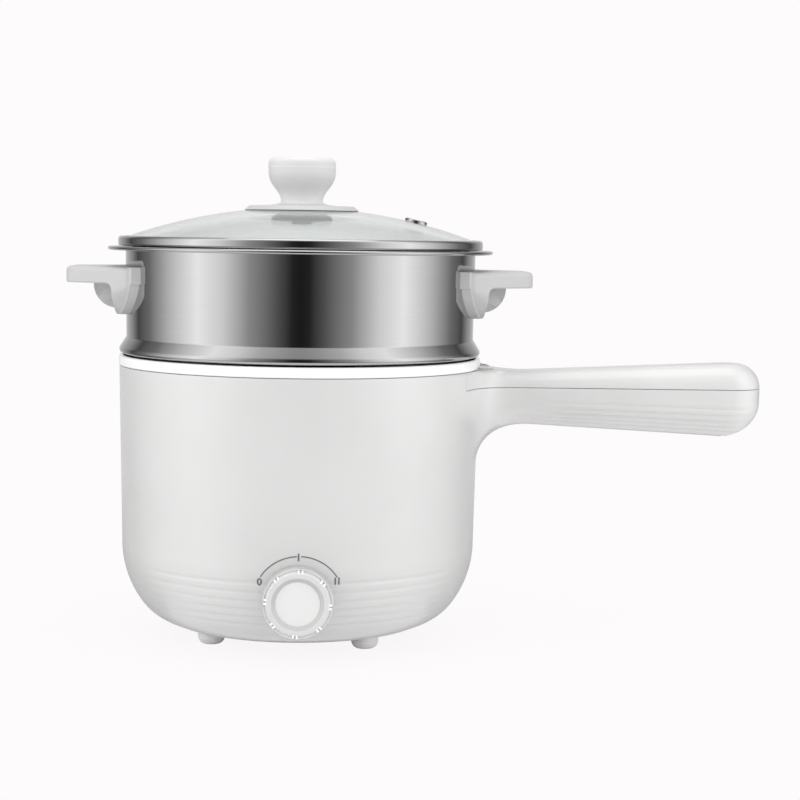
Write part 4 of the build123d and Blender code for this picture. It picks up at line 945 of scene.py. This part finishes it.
class COOKER_OT_steamer(bpy.types.Operator):
    """Turn the steamer's bent wall with its rolled flange and bead, and the skirt that enters the pot"""

    bl_idname = "cooker.steamer"
    bl_label = "Steamer Wall and Skirt"

    def execute(self, context):
        wall = turned([
            (FLANGE_RADIUS, 202.4), (90.8, 202.4, 0.8), (90.2, 156.33, 2.2), (95.05, 148.6, 1.6), (91.2, 148.6),
        ], SHEET_STEPS, sheet=STEAMER_SHEET)
        roll = bmesh.new()
        bmesh.ops.create_circle(roll, segments=20, radius=1.0 * MM)
        place(roll, Matrix.Translation((FLANGE_RADIUS * MM, 0, 202.2 * MM)) @ Matrix.Rotation(pi / 2, 4, "X"))
        turn(roll, SHEET_STEPS)
        join(wall, roll)
        add_piece("steamer_tier", wall, "steel_polished", "steamer", ["steamer_wall"])
        skirt = turned([(92.4, 149.6), (86.0, 149.6, 0.8), (86.0, 136.6)], SHEET_STEPS, sheet=STEAMER_SHEET)
        add_piece("steamer_spigot", skirt, "steel_polished", "steamer", ["steamer_skirt"])
        return {"FINISHED"}


class COOKER_OT_ears(bpy.types.Operator):
    """Smooth the two moulded ears of the steamer"""

    bl_idname = "cooker.ears"
    bl_label = "Ears"

    def execute(self, context):
        for side in ("right", "left"):
            ear = bmesh.new()
            ear.from_mesh(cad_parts[f"ear_{side}"].data)
            merge(ear, 1e-6)
            piece = add_piece(
                f"ear_{side}_grip", ear, "grip_grey", "steamer", [f"ear_{side}"], sharp=30.0)
            piece.modifiers.new("even_shading", "WEIGHTED_NORMAL").keep_sharp = True
        return {"FINISHED"}


def dome_z(reach, radius=DOME_RADIUS):
    """Height of a dome about the glass's centre at a distance from the axis, in millimetres."""
    return DOME_CENTRE_Z + sqrt(radius**2 - reach**2)


class COOKER_OT_lid(bpy.types.Operator):
    """Turn the domed glass, its steel band, its vent and the washer under its knob"""

    bl_idname = "cooker.lid"
    bl_label = "Glass Lid"

    def execute(self, context):
        glass = bmesh.new()
        centre = (0.0, DOME_CENTRE_Z)
        inner = DOME_RADIUS - GLASS_THICKNESS
        top = glass.verts.new((GLASS_HOLE * MM, 0, dome_z(GLASS_HOLE) * MM))
        sweep = atan2(GLASS_EDGE, dome_z(GLASS_EDGE) - DOME_CENTRE_Z) - GLASS_HOLE / DOME_RADIUS
        top_end = arc(glass, top, centre, sweep, 48)
        low = glass.verts.new((GLASS_HOLE * MM, 0, dome_z(GLASS_HOLE, inner) * MM))
        foot_rise = GLASS_FOOT_Z - DOME_CENTRE_Z
        foot_reach = sqrt(inner**2 - foot_rise**2)
        low_end = arc(glass, low, centre, atan2(foot_reach, foot_rise) - GLASS_HOLE / inner, 48)
        corner = glass.verts.new((GLASS_EDGE * MM, 0, GLASS_FOOT_Z * MM))
        for pair in ((top, low), (top_end, corner), (corner, low_end)):
            glass.edges.new(pair)
        turn(glass)
        add_piece("lid_dome", glass, "glass_clear", "lid", ["lid_glass"])
        band = turned([
            (91.4, 208.6), (95.4, 208.6, 1.8), (95.4, 203.4, 1.2), (88.6, 203.4, 0.6), (88.6, 200.4),
        ], SHEET_STEPS, sheet=BAND_SHEET)
        add_piece("lid_band", band, "steel_polished", "lid", ["lid_rim"])
        vent = turned([
            (2.4, 1.6, 0.6), (6.0, 1.6, 0.7), (6.0, 0.1), (3.4, 0.1), (3.4, -3.8), (5.1, -3.8), (5.1, -4.7, 0.3),
            (2.4, -4.7, 0.3)], 48, closed=True)
        tilt = atan2(VENT_X, dome_z(VENT_X) - DOME_CENTRE_Z)
        spot = Vector((VENT_X, 0, dome_z(VENT_X))) * MM
        place(vent, Matrix.Translation(spot) @ Matrix.Rotation(tilt, 4, "Y"))
        add_piece("steam_vent", vent, "steel_polished", "lid", ["vent_grommet"])
        low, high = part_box("lid_washer")
        washer = turned([
            (2.3, high.z / MM), (16.0, high.z / MM, 0.5), (16.0, low.z / MM, 0.5), (2.3, low.z / MM)], 64, closed=True)
        add_piece("knob_washer", washer, "lead_silicone", "lid", ["lid_washer"])
        return {"FINISHED"}


class COOKER_OT_lid_knob(bpy.types.Operator):
    """Turn the lid's knob with its flange and cap"""

    bl_idname = "cooker.lid_knob"
    bl_label = "Lid Knob"

    def execute(self, context):
        edge_z = dome_z(30.3, DOME_RADIUS + 0.03)
        points = [(0.0, edge_z + 1.6), (28.0, edge_z + 0.35), (30.3, edge_z, 0.3), (27.5, 225.25, 0.8)]
        curves = [
            ((26.6, 225.3), (18.0, 225.6), (11.0, 225.4), (11.0, 228.0)),
            ((11.0, 228.0), (11.2, 233.4), (17.7, 235.4), (17.7, 243.4)),
        ]
        for curve in curves:
            spots = interpolate_bezier(*(Vector((r, 0.0, z)) for r, z in curve), 16)
            points += [(spot.x, spot.z) for spot in spots[:-1]]
        points += [(17.7, 243.4), (17.7, 245.05), (0.0, 245.05)]
        knob = turned(points, 128)
        piece = add_piece("lid_grip", knob, "lid_knob_pale", "lid", ["lid_knob"])
        # Painted shade: the flange and the foot of the neck get the darker copy of the knob's colour.
        paint_light_and_shade(piece, "lid_knob_flange", lambda x, y, z: hypot(x, y) > 14.0 and z < 228.0)
        cap = turned([(0.0, 245.1), (17.7, 245.1), (17.7, 245.6), (17.7, 250.4, 3.0), (0.0, 250.6)], 128)
        piece = add_piece("lid_grip_cap", cap, "lid_knob_pale", "lid", ["lid_knob_cap"])
        # Painted highlight: the lower rim of the cap gets the lighter copy of the knob's colour.
        paint_light_and_shade(piece, "lid_knob_seam", lambda x, y, z: hypot(x, y) > 17.0 and z < 245.6)
        return {"FINISHED"}


# Stage


def mix_shaders(tree, share, first, second):
    """Mix two shaders by the share of the second."""
    mix = tree.nodes.new("ShaderNodeMixShader")
    for socket, source in zip(mix.inputs, (share, first, second)):
        tree.links.new(source, socket)
    return mix.outputs["Shader"]


def ray_mix(tree, shown, lit):
    """Mix two shaders so that camera, glossy and transmission rays meet the first."""
    rays = tree.nodes.new("ShaderNodeLightPath").outputs
    seen = reckon(tree, "MAXIMUM", rays["Is Camera Ray"], rays["Is Glossy Ray"])
    return mix_shaders(tree, reckon(tree, "MAXIMUM", seen, rays["Is Transmission Ray"]), lit, shown)


def hang_backdrop(context, stage):
    """White world for what the camera sees and a level light from all sides."""
    world = bpy.data.worlds.new("studio")
    world.use_nodes = True
    tree = world.node_tree
    lit = tree.nodes["Background"]
    preset(lit, {"Color": (1.0, 1.0, 1.0, 1.0), "Strength": 1.0})
    shown = tree.nodes.new("ShaderNodeBackground")
    preset(shown, {"Color": (*stage.background, 1.0)})
    shader = ray_mix(tree, shown.outputs["Background"], lit.outputs["Background"])
    tree.links.new(shader, tree.nodes["World Output"].inputs["Surface"])
    context.scene.world = world


def lay_floor(context, stage):
    """A round pale floor that fades into the backdrop."""
    bm = bmesh.new()
    bmesh.ops.create_circle(bm, cap_ends=True, segments=96, radius=2.6)
    material, tree = bare_material("floor_pale")
    shader = tree.nodes["Principled BSDF"]
    preset(shader, {"Base Color": (0.8, 0.79, 0.795, 1.0), "Roughness": 0.9})
    glow = tree.nodes.new("ShaderNodeEmission")
    preset(glow, {"Color": (*stage.background, 1.0)})
    shown = ray_mix(tree, glow.outputs["Emission"], shader.outputs["BSDF"])
    fade = remap(tree, length(tree, object_spot(tree)), 0.1, 0.32, 0.93, 1.0)
    soft = mix_shaders(tree, fade, shader.outputs["BSDF"], shown)
    tree.links.new(soft, tree.nodes["Material Output"].inputs["Surface"])
    ground = stand(context, "floor", bm, material)
    ground.visible_glossy = False


def ring_cards(context):
    """A ring of light and dark cards under a bright ceiling, which only glossy rays meet."""
    bm = turned([(CARD_RADIUS, CARD_FOOT), (CARD_RADIUS, CARD_TOP), (0.0, CARD_TOP)], 96)
    material, tree = bare_material("cards")
    x, y, z = parts(tree, object_spot(tree))
    around = reckon(tree, "ARCTAN2", x, reckon(tree, "MULTIPLY", y, -1.0))
    share = reckon(tree, "DIVIDE", reckon(tree, "ABSOLUTE", around), pi)
    circle = ramp(tree, share, [(at, (level, level, level, 1.0)) for at, level in CARDS_AROUND])
    upward = ramp(
        tree, remap(tree, z, CARD_FOOT * MM, CARD_TOP * MM),
        [(at, (level, level, level, weight)) for at, level, weight in CARDS_UPWARD])
    blend = tree.nodes.new("ShaderNodeMix")
    blend.data_type = "RGBA"
    for index, source in ((0, upward.outputs["Alpha"]), (6, circle.outputs["Color"]), (7, upward.outputs["Color"])):
        tree.links.new(source, blend.inputs[index])
    glow = tree.nodes.new("ShaderNodeEmission")
    tree.links.new(blend.outputs[2], glow.inputs["Color"])
    tree.links.new(glow.outputs["Emission"], tree.nodes["Material Output"].inputs["Surface"])
    cards = stand(context, "cards", bm, material)
    cards.visible_camera = cards.visible_diffuse = False
    cards.visible_transmission = cards.visible_shadow = False


def stand(context, name, bm, material):
    """Put a shape of the studio in the scene."""
    mesh = to_mesh(name, bm)
    mesh.materials.append(material)
    stood = bpy.data.objects.new(name, mesh)
    context.scene.collection.objects.link(stood)
    return stood


def set_lamp(context, name, spot, aim_z, width, power):
    """One soft rectangular lamp aimed at the pot's axis, unseen in reflections."""
    light = bpy.data.lights.new(name, "AREA")
    light.shape = "RECTANGLE"
    light.size, light.size_y = width, 1.2
    light.energy = power
    lamp = bpy.data.objects.new(name, light)
    lamp.location = spot
    lamp.rotation_euler = (Vector((0.0, 0.0, aim_z)) - Vector(spot)).to_track_quat("-Z", "Y").to_euler()
    lamp.visible_glossy = lamp.visible_transmission = False
    context.scene.collection.objects.link(lamp)


def set_camera(context, stage):
    """The camera at the photograph's viewing angle."""
    data = bpy.data.cameras.new("camera")
    data.sensor_fit = "HORIZONTAL"
    data.sensor_width = 36.0
    data.lens = stage.lens
    data.clip_start = 0.01
    camera = bpy.data.objects.new("camera", data)
    aim = Matrix.Rotation(-stage.camera_yaw, 4, "Z") @ Matrix.Rotation(pi / 2 - stage.camera_pitch, 4, "X")
    lean = Matrix.Rotation(stage.camera_roll, 4, "Z")
    camera.matrix_world = Matrix.Translation(stage.camera_place) @ aim @ lean
    context.scene.collection.objects.link(camera)
    context.scene.camera = camera


class COOKER_OT_stage(bpy.types.Operator):
    """Set up the floor, the backdrop, the soft lamps and the camera"""

    bl_idname = "cooker.stage"
    bl_label = "Stage"

    def execute(self, context):
        stage = context.scene.cooker_stage
        context.scene.view_settings.view_transform = "Standard"
        hang_backdrop(context, stage)
        lay_floor(context, stage)
        ring_cards(context)
        set_lamp(context, "key_left", (-1.25, -0.75, 0.75), 0.12, 0.9, 8.0)
        set_lamp(context, "fill_right", (1.35, -0.7, 0.6), 0.12, 0.9, 7.0)
        set_lamp(context, "top", (0.0, -0.1, 1.5), 0.1, 1.2, 4.0)
        set_camera(context, stage)
        return {"FINISHED"}


class COOKER_PT_panel(bpy.types.Panel):
    """Buttons that build the multicooker piece by piece"""

    bl_idname = "COOKER_PT_panel"
    bl_label = "Multicooker"
    bl_space_type = "VIEW_3D"
    bl_region_type = "UI"
    bl_category = "Multicooker"

    def draw(self, context):
        for operator in OPERATORS:
            self.layout.operator(operator.bl_idname)


GROUPS = [CookerSizes, CookerColours, StageSettings]
OPERATORS = [
    COOKER_OT_finishes, COOKER_OT_housing, COOKER_OT_dial, COOKER_OT_rim_and_pot, COOKER_OT_feet_and_bush,
    COOKER_OT_control_knob, COOKER_OT_steamer, COOKER_OT_ears, COOKER_OT_lid, COOKER_OT_lid_knob, COOKER_OT_stage]


def register():
    """Register the groups, operators and panel."""
    for part in GROUPS + OPERATORS + [COOKER_PT_panel]:
        bpy.utils.register_class(part)
    bpy.types.Scene.cooker_sizes = PointerProperty(type=CookerSizes)
    bpy.types.Scene.cooker_colours = PointerProperty(type=CookerColours)
    bpy.types.Scene.cooker_stage = PointerProperty(type=StageSettings)


def unregister():
    """Remove what register added."""
    del bpy.types.Scene.cooker_stage
    del bpy.types.Scene.cooker_colours
    del bpy.types.Scene.cooker_sizes
    for part in reversed(GROUPS + OPERATORS + [COOKER_PT_panel]):
        bpy.utils.unregister_class(part)


def main():
    """Build every piece in order."""
    register()
    bpy.ops.cooker.finishes()
    bpy.ops.cooker.housing()
    bpy.ops.cooker.dial()
    bpy.ops.cooker.rim_and_pot()
    bpy.ops.cooker.feet_and_bush()
    bpy.ops.cooker.control_knob()
    bpy.ops.cooker.steamer()
    bpy.ops.cooker.ears()
    bpy.ops.cooker.lid()
    bpy.ops.cooker.lid_knob()
    bpy.ops.cooker.stage()


if __name__ == "__main__":
    main()
